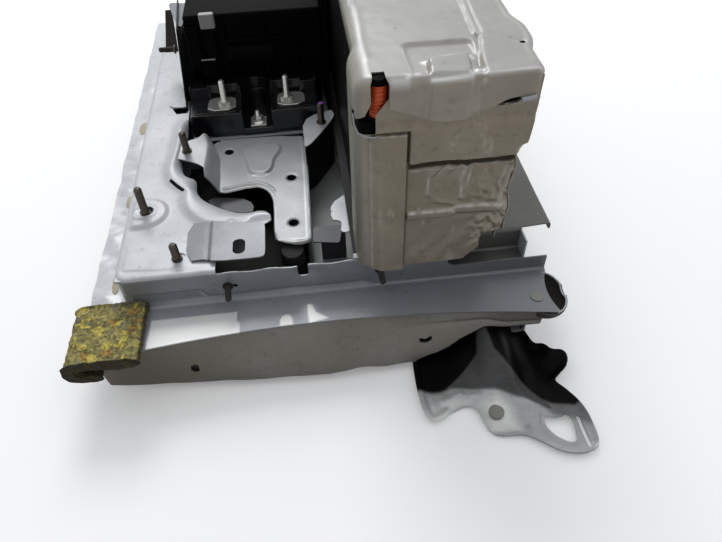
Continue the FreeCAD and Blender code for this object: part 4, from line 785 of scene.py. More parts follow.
def apron_sheet():
    """Front panel between the ledge's hollow edge and its bowed foot. v runs from 0 at the foot to 1
    at the ledge; both edges are curves in plan, the upper one set back under the ledge's right half."""
    bottom, tall = 8.0, 50.0

    def place(u, v):
        foot = np.interp(u, [-213, -180, -135, -90, -40, -2, 49, 108, 160, 206],
                         [-271, -274.5, -278, -281.5, -284.5, -286, -284.5, -282, -278.5, -274])
        top = ledge_front(u) + 2.2 + 6.5 * ramp(u, 45, 75) * fade(u, 150, 176)
        t = ramp(v, 0.0, 1.0) * 0.4 + v * 0.6
        belly = -2.4 * np.sin(math.pi * v) * (1 - (u / 230) ** 2)
        press = 1.3 * bell(v * 51 - 33 - u * 0.02, 2.2) * ramp(u, 60, 90)
        uneven = 0.5 * waves(u, v * tall, 90, 31, 2)
        return u, foot + (top - foot) * t + belly + press + uneven, bottom + v * tall

    def inside(u, v):
        x, z = u, bottom + v * tall
        foot = bottom + 0.7 * np.sin(x / 9) + 3.2 * ramp(x, 10, 34) * fade(x, 34, 58)
        shape = box_distance(x, z, -213, 206, foot, 58, 1)
        raised = path_distance(x, z, [(78, -9), (84, 10), (96, 14), (105, 16), (116, 20), (128, 27),
                                      (143, 33), (152, 37), (176, 39), (200, 40), (240, 41),
                                      (240, -9)])
        hole = disc_distance(x, z, -127.7, 27, 4.8)
        slot = line_distance(x, z, [(88, 30), (94, 28.5), (100, 31)]) - 1.8
        return without(shape, raised, hole, slot)

    us = grid_lines((-215, 208, FINE * 1.1))
    vs = grid_lines((0, 1, FINE / tall))
    sheet = pressed_sheet("apron_panel", us, vs, inside, place, GAUGE, APRON_SHEET, flip=True)
    # painted shade: black blocks behind the hole and the slot
    behind = [boxed("apron_hole_shade", (-135, -274.6, 9), (-120, -273.4, 34), SHADOW_NYLON, 0.3),
              boxed("apron_slot_shade", (86, -265.6, 14), (102, -264.4, 30), SHADOW_NYLON, 0.3)]
    return [sheet, *behind]


def channel_tube():
    """Channel under the ledge: a trough carried along X that widens and rises into a round scoop, its
    open mouth. u is the angle round the section, from back to front."""
    angles = np.linspace(2 * math.pi, math.pi, 30)
    xs = grid_lines((-192, 150, 12), (150, 224, 2), (224, 232, 0.8))
    a, x = np.meshgrid(angles, xs, indexing="ij")
    open_up, q = ramp(x, 168, 212), np.clip((x - 208) / 24, 0, 1)
    middle = -240.0 - 16.0 * open_up
    half_y = (15.0 + 12.5 * open_up) * np.sqrt(1 - 0.95 * q ** 3)
    depth = (17.0 + 1.5 * open_up) * np.sqrt(1 - 0.98 * q ** 2.5)
    corner = 0.5 + 0.5 * open_up
    c, s = np.cos(a), -np.sin(a)
    y = middle + half_y * np.sign(c) * np.abs(c) ** corner
    z = 59.4 - depth * np.maximum(s, 0) ** corner
    points = np.stack([x, y, z], axis=-1)
    index = np.arange(a.size).reshape(a.shape)
    vertices, faces = shell_of(points.reshape(-1, 3), grid_quads(index).reshape(-1, 4), THIN_GAUGE)
    mouth = xs > 216
    rim = np.concatenate([points[0, mouth], points[:, -1], points[-1, mouth][::-1]])
    rim[:, 0] = np.minimum(rim[:, 0], 231.2)
    # painted shade: the trough is dark brown inside; its lip is plain sheet
    return [make_piece("channel_trough", vertices, faces, MOUTH_BROWN),
            tube("channel_mouth_lip", rim[::3], np.full(len(rim[::3]), 0.8), GALVANISED, 8)]


def leg_sheet():
    """Stamped leg: a height over its outline. Flat foot, one narrow cone that rises to the case
    between two valleys painted black as shade, a raised round boss, a rolled edge, an eye and a sliver."""
    across = (72, 90, 104, 120, 136, 152, 168, 184, 200, 216, 240)
    along = (-402, -385, -368, -352, -338, -322, -306, -290, -276, -262, -236)
    heights = [(2, 2, 2, 2, 2, 2, 2, 2, 3, 3, 2),
               (2, 2, 2, 2, 2, 2, 2, 3, 4, 4, 3),
               (2, 2, 2, 2, 2, 2, 3, 4, 4, 5, 4),
               (5, 3, 2, 2, 4, 6, 6, 4, 4, 6, 6),
               (6, 3, 2, 3, 7, 12, 10, 5, 4, 7, 9),
               (6, 3, 3, 4, 10, 20, 18, 6, 4, 10, 16),
               (5, 3, 3, 5, 12, 26, 24, 8, 4, 14, 26),
               (5, 3, 3, 6, 14, 31, 28, 9, 5, 16, 28),
               (6, 4, 4, 7, 16, 34, 30, 10, 6, 14, 24),
               (7, 5, 5, 8, 18, 36, 31, 11, 7, 12, 18),
               (8, 8, 8, 10, 20, 38, 32, 12, 8, 10, 14)]
    edge = soft_path([(84, -238), (80, -290), (79, -330), (84, -349), (95, -350), (108, -341),
                      (122, -336), (131, -341), (134, -356), (139, -368), (150, -372), (167, -372),
                      (180, -381), (196, -395), (218, -397.5), (231, -391), (232, -374), (229, -352),
                      (219, -336), (209, -323), (216, -319), (226, -313), (226, -299), (215, -294),
                      (212, -283), (204, -279), (201, -263), (190, -238), (150, -238), (120, -244)], 3)
    eye = soft_path([(189, -357), (203, -361), (213, -358), (214, -373), (211, -388), (198, -382),
                     (189, -370)], 2)
    # painted shade: the valleys on both sides of the cone are black
    left_coat = soft_path([(60, -230), (60, -318), (82, -317.5), (98, -321), (108, -319),
                           (113, -315), (125, -307), (136, -298), (147, -290), (147, -230)], 1)
    right_coat = soft_path([(152, -230), (152, -292), (162, -305), (171, -316), (182, -328),
                            (196, -345), (216, -351), (224, -353), (240, -340), (240, -230)], 1)

    def inside(x, y):
        sliver = line_distance(x, y, [(220.5, -363), (222.4, -390)]) - 2.0
        return without(path_distance(x, y, edge), path_distance(x, y, eye), sliver)

    def place(x, y):
        z = smooth_table(x, y, across, along, heights)
        rim = -path_distance(x, y, edge)
        lip = 2.6 * bell(rim, 3.4) * ramp(x, 128, 150)
        lip = lip + 3.0 * bell(rim - 3, 4.0) * ramp(-x, -112, -100)
        eye_lip = 1.6 * bell(path_distance(x, y, eye) - 1.5, 3.0)
        boss = 1.8 * fade(disc_distance(x, y, 147, -350, 13), -5, 2)
        fold = 2.2 * ridge(x, y, [(104, -330), (118, -324), (136, -332)], 5)
        rib = 1.8 * ridge(x, y, [(168, -322), (180, -345), (192, -352)], 5)
        return x, y, z + lip + eye_lip + boss + fold + rib + 0.4 * waves(x, y, 40, 41, 2)

    us, vs = grid_lines((76, 234, FINE)), grid_lines((-399, -236, FINE))
    sheet = pressed_sheet("mounting_leg", us, vs, inside, place, LEG_GAUGE, LEG_SHEET)
    # painted shade: the cone's upper part dark, and a softer dark towards the right
    shade = soft_path([(104, -319), (112, -316.5), (122, -319), (135.4, -325), (152.5, -331),
                       (168.8, -337), (186, -341), (199, -354), (202, -346), (190, -330), (176, -312),
                       (164, -296), (157, -284), (155, -236), (142, -236), (140, -290), (118, -298)], 1)
    dull = soft_path([(182, -328), (196, -345), (197.5, -356), (212, -362), (240, -375), (240, -330)], 1)
    coat(sheet, lambda x, y, z: np.maximum.reduce([
        fade(union(path_distance(x, y, left_coat), path_distance(x, y, right_coat)), -3.5, 3),
        0.8 * fade(path_distance(x, y, shade), -2, 1.5),
        0.55 * fade(path_distance(x, y, dull), -4, 5)]))
    # painted highlights: a glint round the boss, bright spots near the left toe and the fold, the scoop's
    # rim
    glint = [(137, -338), (150, -334), (160, -345), (165, -366), (140, -364)]

    def wear(x, y, z):
        scoop_rim = bell(path_distance(x, y, edge) + 1.5, 1.2) * ramp(x, 223, 225) * ramp(y, -318, -314)
        return np.maximum.reduce([
            0.75 * fade(path_distance(x, y, glint), -8, 8), 0.7 * bump(x, y, 95, -344, 10),
            0.5 * bump(x, y, 112, -334, 12, 5), 0.8 * scoop_rim])

    return coat(sheet, wear, "worn")


def leg_plug():
    """Flat round plug on the leg's boss."""
    return turned("leg_plug", [(7.2, -1), (7.2, 0.3), (6.4, 0.9), (0.5, 1.0)], (147, -350, 9.8),
                  (0.03, -0.06, 1), PLUG_GREY)


def bridge_sheet():
    """Bridge over the bay as a height over its outline: tab on the deck, steep wall rounded at its top,
    sunk plate with a raised field, a thin bead along its front and inner edges."""
    plate = soft_path([(-119, 19), (-60, 17.3), (-7, 15.5), (-4, 8), (-2.2, -31.5), (-5.5, -165),
                       (-6.5, -171.5), (-18.8, -175.4), (-38, -170), (-44.7, -164), (-43.6, -108),
                       (-46.5, -92), (-53, -81), (-64, -75.5), (-102, -84), (-119, -76)], 1)
    tab = soft_path([(-104, 19), (-121, 4), (-126, -5), (-146, -13), (-153.5, -22), (-154.5, -32),
                     (-151, -40), (-128, -52), (-117.5, -61), (-110, -74), (-102, -84), (-98, -40)], 1)
    field = soft_path([(-80.3, -16.6), (-77.3, -6.3), (-67.8, 3.3), (-50.7, 3.3), (-36.8, 1.2),
                       (-31, -7.8), (-33, -18.4), (-40.7, -31.4), (-42, -48.3), (-49.4, -58),
                       (-61.5, -58.8), (-70.7, -54), (-73.4, -40), (-77, -26)], 2)
    holes = ((-94.3, -7.1), (-22.7, -66.5), (-23.5, -142.7))

    def inside(x, y):
        sheet = union(path_distance(x, y, plate), path_distance(x, y, tab))
        return without(sheet, *(disc_distance(x, y, cx, cy, 5.4) for cx, cy in holes))

    def place(x, y):
        foot = np.interp(y, [-83, -20, 19], [102.5, 104.6, 116])
        run = np.interp(y, [-60, -13, 19], [14, 10, 8])
        t = np.clip((-x - foot) / run, 0, 1)
        up = 1 - (1 - t) ** 1.7
        edge = -path_distance(x, y, plate)
        front = fade(y, -70, -60) * ramp(-x, 40, 44) * ramp(x, -102, -98)
        front = np.clip(front + ramp(-y, 168, 172), 0, 1) * (1 - up)
        bead = (1.1 * bell(edge - 5.4, 1.1) - 0.5 * bell(edge - 3.2, 0.9)) * front
        rolled = -np.maximum(1.8 - edge, 0) ** 2 / 1.8 * front
        side = -np.maximum(1.6 - edge, 0) ** 2 / 1.8 * ramp(x, -30, -20)
        emboss = 3.0 * fade(path_distance(x, y, field), -3.4, 0.6)
        rings = sum(-0.6 * bell(np.hypot(x - cx, y - cy) - 5.4, 1.2) for cx, cy in holes)
        sag = 0.3 * waves(x, y, 60, 51, 2)
        return x, y, 80 + 21.6 * up + bead + rolled + side + emboss + rings + sag

    us = grid_lines((-157, 0, 0.95))
    vs = grid_lines((-177, 21, 1.05))
    sheet = pressed_sheet("bridge_pressing", us, vs, inside, place, GAUGE, BRIDGE_SHEET)

    # painted highlights: bright lines along the bead and the rolled edges, and along the front lip
    def wear(x, y, z):
        edge = -path_distance(x, y, plate)
        front = fade(y, -70, -60) * ramp(-x, 40, 44) * ramp(x, -102, -98)
        front = np.maximum(front, ramp(-y, 166, 170))
        side = ramp(x, -16, -10) * ramp(-y, -8, 0)
        lines = 0.9 * np.maximum(bell(edge - 5.4, 0.8), bell(edge - 1.0, 0.8))
        front_lip = 0.8 * ridge(x, y, [(-66, -57), (-50, -57)], 1.3)
        return np.maximum(lines * np.maximum(front, 0.6 * side), front_lip) * fade(z, 83.5, 85)

    return coat(sheet, wear, "worn")


def bridge_skirt():
    """Side wall under the bridge's right edge, down to the bay pan. u along Y, v is the height."""
    def place(u, v):
        return np.interp(u, [-171, -31, 10], [-6.6, -3.6, -5.2]) + 0.5 * waves(u, v, 50, 61, 2), u, v

    def inside(u, v):
        return box_distance(u, v, -169, 10, 42, 78, 4)

    us, vs = grid_lines((-173, 12, 3)), grid_lines((40, 79, 2.5))
    return pressed_sheet("bridge_skirt", us, vs, inside, place, GAUGE, BRACKET_SHEET)


def flat_sheet(name, outline, level, material):
    """A nearly level sheet over an outline of (x, y)."""
    outline = np.asarray(outline, float)
    low, high = outline.min(axis=0) - 1, outline.max(axis=0) + 1

    def place(x, y):
        return x, y, level + 0.2 * waves(x, y, 30, 63, 1)

    return pressed_sheet(name, grid_lines((low[0], high[0], 1.6)), grid_lines((low[1], high[1], 1.6)),
                         lambda x, y: path_distance(x, y, outline), place, GAUGE, material)


def stay_sheets():
    """Side stay right of the bridge: pale triangle with a tail, and the dark bracket under it."""
    pale = soft_path([(17.2, -128.3), (33.4, -114.6), (35.5, -115.1), (35.3, -173.4), (23.3, -173.7),
                      (26.1, -160.3), (24, -155.3), (15.6, -153.3)], 1)
    dark = [(6.5, -159), (23, -159.5), (25.2, -161.5), (25.4, -165), (21.5, -183.5), (19.5, -185),
            (-4.9, -180.2), (-3.5, -159.2)]
    wall = boxed("stay_wall", (3, -163.5, 41), (29, -162, 84), DARK_SHEET, 0.4)
    return [flat_sheet("stay_triangle", pale, 88, GALVANISED),
            flat_sheet("stay_bracket", dark, 85, DARK_SHEET), wall]


def bay_details():
    """Small sheet under the bridge's notch and a black disc behind the front wall, both dark as painted
    shade.
    """
    shelf = soft_path([(-121, -77), (-81, -82), (-66, -95), (-68, -112), (-108, -99)], 1)
    plug = turned("bay_hole_shade", [(12, -8), (12, 6), (11, 7.5), (0.5, 8)], (-27, -176, 66), (0, -0.1, 1),
                  SHADOW_NYLON)
    return [flat_sheet("bay_inner_shelf", shelf, 70, SHADED_SHEET), plug]


def slotted_sheet():
    """Bracket over the gap in the deck, as a height over its outline: foot that slopes up a little to
    a fold, then a flat plate with a slot."""
    outline = soft_path([(-126.7, -155), (-104, -155), (-103, -157), (-56, -165), (-51, -167),
                         (-50.6, -172), (-50.6, -208), (-52, -213), (-57, -214.3), (-101, -213.5),
                         (-104, -208), (-126, -207.5)], 1)

    def inside(x, y):
        return without(path_distance(x, y, outline), box_distance(x, y, -81.5, -69.5, -207, -187, 5.5))

    def place(x, y):
        foot = 101.5 + 1.6 * np.clip((x + 126.7) / 21, 0, 1)
        step = 1.5 * ramp(x, -104.5, -101.5) - 0.8 * bell(x + 105.5, 1.3)
        return x, y, foot + step + 0.25 * waves(x, y, 30, 71, 2)

    us = grid_lines((-128, -106, 1.6), (-106, -100, 0.8), (-100, -49, 1.4))
    vs = grid_lines((-216, -153, 1.4))
    return pressed_sheet("slotted_pressing", us, vs, inside, place, GAUGE, BRACKET_SHEET)


def gusset_sheet():
    """Tab beside the bridge, pointed to the front, with a small curl at its right corner."""
    tab = soft_path([(-4.3, 7), (-4.2, -30), (-4, -46), (4.5, -38), (34, 10.6), (33.8, 17),
                     (31, 25), (15, 23.4)], 1)

    def inside(x, y):
        return path_distance(x, y, tab)

    def place(x, y):
        curl = 2.2 * ramp(x + 0.3 * y, 31, 40)
        return x, y, 104 + curl + 0.2 * waves(x, y, 30, 73, 1)

    us, vs = grid_lines((-6, 36, 1.3)), grid_lines((-48, 27, 1.3))
    return pressed_sheet("gusset_tab", us, vs, inside, place, GAUGE, BRIDGE_SHEET)


def gusset_wall():
    """Upright under the tab's slanting edge, black as painted shade. u is the way along the edge, v is the
    height.
    """
    way = np.array([(-3, -46), (5, -38), (31.4, 6.5)])
    length = path_lengths(way)

    def inside(u, v):
        return box_distance(u, v, 0, length[-1], 42, 103, 0)

    def place(u, v):
        return np.interp(u, length, way[:, 0]), np.interp(u, length, way[:, 1]), v

    us, vs = grid_lines((0, length[-1], 2)), grid_lines((42, 103, 3))
    return pressed_sheet("gusset_wall", us, vs, inside, place, GAUGE, BLACK_PAINT)


def upright_sheets():
    """Upright at the bay's left: bare foot on the deck, black slanting panel, bluish top flange."""
    low = np.array([(-145.5, 64), (-149, 168)])
    high = np.array([(-139, 86), (-145, 170)])

    def place(u, v):
        t, s = (u - 60) / 120, (v - 101) / 89
        foot = low[0] + (low[1] - low[0]) * t[..., None]
        head = high[0] + (high[1] - high[0]) * t[..., None]
        spot = foot + (head - foot) * s[..., None]
        return spot[..., 0], spot[..., 1], v

    def inside(u, v):
        return box_distance(u, v, 60, 180, 101, 190.5, 2)

    panel = pressed_sheet("upright_panel", grid_lines((60, 180, 3)), grid_lines((100, 191, 3)), inside,
                          place, GAUGE, BLACK_PAINT, flip=True)
    foot = soft_path([(-175, 158), (-170.3, 175), (-144.1, 68.5), (-147.2, 63.3), (-163.7, 65.9),
                      (-168.2, 76.1), (-171.3, 137.7)], 1)
    flange = soft_path([(-157.5, 172), (-150, 141), (-137.3, 96), (-131, 116), (-122.6, 135.6),
                        (-122.5, 164), (-141, 168)], 1)
    rear = prism("upright_rear_panel", [(-171, 132), (-155, 132), (-150.5, 186), (-158.5, 186)], 149, 151,
                 1, BROWN_PRIMER, 0.5)
    return [panel, rear, flat_sheet("upright_foot", foot, 101.8, GALVANISED),
            flat_sheet("upright_flange", flange, 186, BLUE_PAINT)]


def joggle(y):
    """How far the cover's left side steps in behind its front part, mm."""
    return 5.5 * ramp(y, -192, -176) * fade(y, 300, 345)


def cover_top_sheet():
    """Pressed top of the cover, its grid unrolled over the edges. The bend's radius differs by side:
    wide on the left shoulder, smaller in front and on the right, with a round ear."""
    top, left_radius, front_radius, right_radius = 290.0, 14.0, 9.0, 6.0

    def sharper(u):
        return 4.5 * ramp(u, 95, 127)

    def outline(u, v):
        v = v + sharper(u) * ramp(-v, 100, 160)
        box = box_distance(u, v, 34.9 + left_radius, 175.8 - right_radius, -240.4 + front_radius, 367,
                           3.0)
        return blend_union(box, box_distance(u, v, 120, 181.7 - right_radius, -199, -147, 20), 7.0)

    def spread(u, v):
        d = outline(u, v)
        nu, nv = heading(outline, u, v)
        side = np.where(nu < 0, left_radius - joggle(v), right_radius)
        out, down = bend(np.maximum(d, 0), side * nu ** 2 + (front_radius - sharper(u)) * nv ** 2)
        shift = np.where(d > 0, d - out, 0)
        return u - nu * shift, v - nv * shift, down, d, nu, nv

    saddle = soft_path([(90.5, -262), (90.5, -236), (91.5, -216), (95, -212), (122, -209),
                        (126, -212), (121.5, -239), (121.5, -262)], 1)
    bead = [(141, 360), (139.5, -117), (137, -182)]
    window = [(-20, 100), (-20, 258), (37, 258), (43, 262), (47.5, 272), (47.5, 286), (50, 291),
              (58.5, 291), (61.2, 286), (61.2, 100)]
    folds = (([(145.5, 360), (144, -117), (141, -178)], -1.0, 2.2),
             ([(138, -184), (129.5, -229)], -1.6, 2.2), ([(49.5, -123), (47, -205), (50, 360)], 0.6, 4),
             ([(163, -190), (172, -197), (181, -212)], -0.9, 2.5))
    knocks = ((74.8, -236, 1.6, 3.5), (82.5, -230.2, 0.6, 3.2), (127.9, -231, 1.7, 3.2),
              (91.5, -213, 0.8, 2.5), (126, -211, 1.2, 3), (79, -238, -1.2, 4))

    def relief(x, y):
        moat = box_distance(x, y, 77.5, 133, -300, -187, 7)
        rise = -2.8 * fade(moat, -4, 1.5)
        rise = rise - 1.5 * fade(box_distance(x, y, 40, 87, -114, 800, 6), -2.5, 0.8)
        hump = fade(path_distance(x, y, saddle), -2.6, 0.6)
        rise = rise * (1 - hump) + (2.1 - 1.2 * ramp(y, -216, -232) * ramp(y, -242, -236)) * hump
        crest = line_distance(x, y, bead)
        rise = rise + 1.5 * bell(crest, 1.9) * fade(-y, 178, 186)
        rise = rise + sum(height * ridge(x, y, path, reach) for path, height, reach in folds)
        rise = rise + sum(height * bump(x, y, cx, cy, reach) for cx, cy, height, reach in knocks)
        rise = rise - 0.05 * np.maximum(x - 145, 0) * fade(-y, 214, 232)
        return rise + 0.3 * waves(x, y, 45, 91, 3) - 0.2

    def place(u, v):
        x, y, down, d, nu, nv = spread(u, v)
        z = np.minimum(top + relief(x, y) * fade(d, -3, 5), 292.3) - down
        frontal = ramp(-nv, 0.7, 0.95) * ramp(down, 2, 5)
        block_face = fade(path_distance(x, z * 0 - 250.0, saddle), -2.0, 0.6)
        hollow = bell(x - 129.5, 2.6) + 0.6 * bell(x - 85.5, 2.2)
        push = frontal * (2.2 * block_face - 1.4 * hollow - 1.8 * bump(x, z, 106, 267, 6.2)
                          + 0.25 * waves(x, z, 22, 95, 2))
        return x + nu * push, y + nv * push, z

    def inside(u, v):
        x, y, down, d, _, nv = spread(u, v)
        z = top - down
        low = np.interp(x, [30, 45, 60.7, 76, 88.3, 103.3, 116.7, 127.2, 136.4, 159, 165, 180],
                        [255, 255, 267.5, 261.4, 256.4, 253.8, 255.1, 258.7, 261.3, 262, 263, 262])
        shape = np.where((nv < -0.3) & (y < -226), low, 263.5 + 0.6 * np.sin(y / 14)) - z
        front = y < -225.5
        holes = np.minimum(np.where(front, path_distance(x, z, window), 99),
                           np.where(front & (nv < -0.7), path_distance(x, z, COVER_SLIT), 99))
        return without(shape, holes, np.where(d < 0, disc_distance(x, y, 170, -196, 2.4), 99))

    fine = FINE * 0.7
    us = grid_lines((-4, 30, FINE), (30, 176, fine), (176, 214, FINE))
    vs = grid_lines((-286, -200, fine), (-200, -110, fine * 1.3), (-110, -60, 3), (-60, 330, 9),
                    (330, 410, 5))
    sheet = pressed_sheet("cover_top_pressing", us, vs, inside, place, THIN_GAUGE, COVER_SHEET)
    # painted highlights: glints along the saddle's edges, the front bends, the bead and the shoulder
    glints = (([(64, -238), (74.5, -238)], 2.2, 0.7), ([(74.5, -236), (76, -234)], 2.2, 0.9),
              ([(82, -230.5), (83.5, -229.5)], 2.2, 0.9), ([(92, -238.8), (121, -239)], 1.5, 1.0),
              ([(92, -213.5), (108, -212), (122, -209.5)], 1.5, 1.0),
              ([(125.5, -211), (127, -213)], 1.8, 0.9),
              ([(91, -214.5), (91, -214)], 1.6, 0.8), ([(120.5, -237), (122, -236)], 1.6, 0.9),
              ([(127.5, -231.5), (129, -231)], 2.2, 0.8), ([(130, -238.6), (172, -237.5)], 1.3, 0.7),
              ([(142, 360), (140.8, -117), (138.5, -181)], 1.1, 0.6), ([(77, -195), (78, -228)], 1.4, 0.4),
              ([(49, -120), (46.5, -182), (47.6, -231)], 2.0, 0.35), ([(52, 360), (49, -120)], 2.0, 0.35))
    return coat(sheet, lambda x, y, z: strokes(x, y, glints) * ramp(z, 279, 284), "worn")


def cover_left_sheet():
    """Left wall of the cover, turned round the front corner. u is sheet length along the wall from
    the back, v is the height."""
    corner_start = 590.0
    turn = 1.25
    radius = 14.0

    def place(u, v):
        """Straight along -Y, round a little less than a quarter, then along +X as the strip."""
        past = np.maximum(u - corner_start, 0)
        a = np.clip(past / radius, 0, turn)
        y = 373 - np.minimum(u, corner_start) - radius * np.sin(a)
        x = 36 + radius * (1 - np.cos(a))
        rest = np.maximum(past - radius * turn, 0)
        straight = ramp(rest, 0, 6)
        angle = turn + straight * (math.pi / 2 - turn)
        x = x + rest * np.sin(angle)
        y = y - np.minimum(rest, 4) * math.cos(turn) * 0.6
        wall = fade(past, -14, -2)
        field = 1.5 * fade(box_distance(u, v, 20, 566, 118, 252, 12), -5, 1)
        out = wall * (0.7 * waves(u, v, 80, 101, 2) - field)
        strip = ramp(rest, 4, 10) * 0.5 * waves(x, v, 30, 103, 3)
        return x - out + joggle(y), y - strip, v

    def inside(u, v):
        x, _, _ = place(u, v)
        start = corner_start
        sheet = path_distance(u, v, [(0, 100), (start, 100), (start + 4, 95.5), (900, 95.5),
                                     (900, 241.5), (start + 1, 241.5), (start - 2, 245), (start - 2, 257),
                                     (start + 4, 262), (start + 5, 275), (0, 275)])
        return np.maximum(sheet, np.where(u > start, box_distance(x, v, -200, 75.5, 50, 241.5, 7), -99))

    us = grid_lines((0, 500, 10), (500, 542, 4), (542, 564, 0.8), (564, 650, FINE * 0.85))
    vs = grid_lines((93, 288, FINE))
    piece = pressed_sheet("cover_left_pressing", us, vs, inside, place, THIN_GAUGE, COVER_SHEET, flip=True)
    # painted shade: the wall turns black behind its front part
    coat(piece, lambda x, y, z: (ramp(y + 0.4 * waves(y, z, 30, 105, 2), -176.5, -173.5)
                                 * ramp(50 - x, 0, 2)))
    lip = tube("window_lip", [(35.6, -226, 257), (36, -228.5, 249), (38.5, -234, 244.4),
                              (44, -238.2, 243.2), (51.3, -239.4, 243.0)], [0.7] * 5, GALVANISED, 8)
    return [piece, lip]


def end_panel_sheet():
    """End panel of the cover: upper field standing forward, wrinkled middle field, cross bead with a
    kink, plain lower field with a crumpled corner. u is X, v is the height."""
    edge = [(46, 238), (46, 95.5), (134.5, 96.5), (147.7, 106.8), (148.9, 125), (163.4, 127.5),
            (167.7, 137.8), (169.3, 158.6), (165.6, 177), (169.4, 200.9), (166.5, 213), (170.6, 221.3),
            (172.5, 229.6), (174.4, 259.5), (174.6, 284), (61.1, 284), (61.1, 274.2), (51.2, 261.8),
            (51.2, 241.5)]
    creases = (([(95.3, 199), (94.0, 190), (94.8, 179)], 1.5, 1.6),
               ([(126.5, 207), (122.3, 193.4), (124.2, 172)], 1.8, 1.8),
               ([(112, 209), (104, 200), (101, 196)], -1.2, 1.6),
               ([(133, 207), (131, 190), (128, 176)], -1.3, 2.0),
               ([(119, 208), (113, 203)], 1.2, 1.5), ([(141, 203), (137, 188), (140, 172)], 1.3, 2.2),
               ([(160, 208), (154, 190), (150, 170)], 1.5, 2.4),
               ([(167, 205), (160, 185), (163, 165)], -1.6, 2.0),
               ([(101, 172), (113, 168), (122, 165)], 1.0, 1.8),
               ([(150, 150), (158, 140), (152, 130)], 1.6, 2.4))

    def brow_at(x):
        """Height of the upper field's lower edge."""
        return 214.2 + 0.9 * np.sin(x / 15 + 1) + 1.6 * ramp(x, 120, 165)

    def inside(x, z):
        return without(path_distance(x, z, edge), path_distance(x, z, COVER_SLIT))

    def place(x, z):
        right = ramp(x, 120, 160)
        brow = brow_at(x)
        field = np.maximum(ramp(x, 76.2, 77.8), ramp(z, 243.5, 247))
        upper = ramp(z, brow - 0.9, brow + 1.2) * field
        upper = upper * (1 - ramp(x, 163, 172) * fade(z, 219, 227))
        relief = upper * (5.2 - 1.7 * ramp(z, 246, 252))
        strip = fade(x, 75.6, 76.6) * fade(z, 242.6, 243.8) * ramp(x, 47, 57)
        relief = np.maximum(relief, 4.9 * strip)
        relief = relief - 1.3 * upper * ridge(x, z, [(77.2, 214), (77.2, 244.5), (50, 244.5)], 0.9)
        relief = relief - 1.0 * bell(z - brow + 2.6, 1.4) * ramp(x, 77, 80)
        centre = np.interp(x, [76, 117, 121, 145, 167], [158, 158, 161.3, 160.5, 157])
        away = z - centre
        bead = ramp(away, -4.6, -3.2) * fade(away, 1.5, 4.5)
        relief = relief + 2.6 * bead * ramp(x, 76.5, 79) * fade(x, 162, 168)
        middle = ramp(z, 162, 168) * fade(z, 206, 211) * ramp(x, 78, 84)
        relief = relief + middle * (0.5 * waves(x * 1.6, z * 0.55, 20, 111, 3)
                                    + 0.9 * right * waves(x * 1.3, z, 13, 113, 3))
        relief = relief + sum(depth * ridge(x, z, path, reach) for path, depth, reach in creases)
        low = fade(z, 148, 153)
        relief = relief + low * (0.4 * waves(x, z, 40, 115, 2) + 1.6 * ramp(x, 128, 150)
                                 * waves(x, z, 13, 117, 3))
        relief = relief + 0.35 * upper * waves(x, z, 30, 119, 2)
        rim = -path_distance(x, z, edge)
        relief = relief - np.maximum(3.5 - rim, 0) ** 2 / 3.5 * ramp(x, 132, 140) * (1 - upper)
        return x, -235.0 - relief, z

    us, vs = grid_lines((45, 176, FINE * 0.7)), grid_lines((94, 285, FINE * 0.7))
    sheet = pressed_sheet("end_panel_pressing", us, vs, inside, place, THIN_GAUGE, END_SHEET)

    # painted shade: darker brown below the upper field's brow, and dark lines along the strip's step and
    # under the bead
    def dirt(x, y, z):
        brow = brow_at(x)
        under = 0.95 * ramp(z, brow - 8.5, brow - 6.5) * fade(z, brow, brow + 0.6) * ramp(x, 76, 79)
        seams = [([(77.0, 97), (77.2, 244)], 0.9, 0.7), ([(79, 152.5), (118, 152.8)], 0.9, 0.7),
                 ([(121, 155.3), (160, 153)], 0.9, 0.7)]
        return np.maximum(under, strokes(x, z, seams))

    # painted highlights along the bead, the brow, the creases and the strip's top
    def wear(x, y, z):
        paths = [([(79, 160.5), (117, 160.5), (121, 164), (146, 163), (160, 160.5)], 1.1, 0.75),
                 ([(80, 204.6), (110, 204.5), (130, 206), (160, 207)], 0.8, 0.5),
                 ([(117, 160.5), (121, 157)], 1.2, 0.7), ([(53, 243), (75, 243)], 0.7, 0.6),
                 ([(95.3, 197), (94.4, 181)], 1.2, 0.6),
                 ([(125.6, 205), (122.3, 193), (124, 175)], 1.4, 0.55),
                 ([(113, 208), (103, 199)], 1.0, 0.4), ([(168, 205), (163, 190), (161, 170)], 1.3, 0.5),
                 ([(47.5, 235), (47.5, 100)], 0.8, 0.35), ([(131, 203), (128, 180)], 1.2, 0.4)]
        return strokes(x, z, paths) * (0.6 + 0.5 * waves(x, z, 9, 121, 2))

    coat(sheet, wear, "worn")
    return coat(sheet, dirt)


def cover_right_sheet():
    """Right wall of the cover, stepped inward low down; its front margin bends in to meet the end
    panel's edge. u is Y, v is the height."""
    def place(u, v):
        level = 169.5 + 5.5 * ramp(v, 210, 218)
        edge = np.interp(v, [100, 137.8, 158.6, 177, 200.9, 213, 221, 230, 260, 284],
                         [168, 167.7, 169.3, 165.6, 169, 166.5, 170.6, 172.5, 174.4, 174.8])
        margin = fade(u, -234, -205) * np.minimum(level - edge, 6)
        return level - margin + 0.3 * waves(u, v, 70, 141, 2) * ramp(u, -225, -190), u, v

    def inside(u, v):
        front = np.where(v < 129, -215, -234.5)
        return np.maximum.reduce([front - u, u - 372, 101.0 - v, v - 284])

    us, vs = grid_lines((-235, -200, FINE), (-200, 373, 12)), grid_lines((100, 285, FINE))
    return pressed_sheet("cover_right_pressing", us, vs, inside, place, THIN_GAUGE, COVER_SHEET)


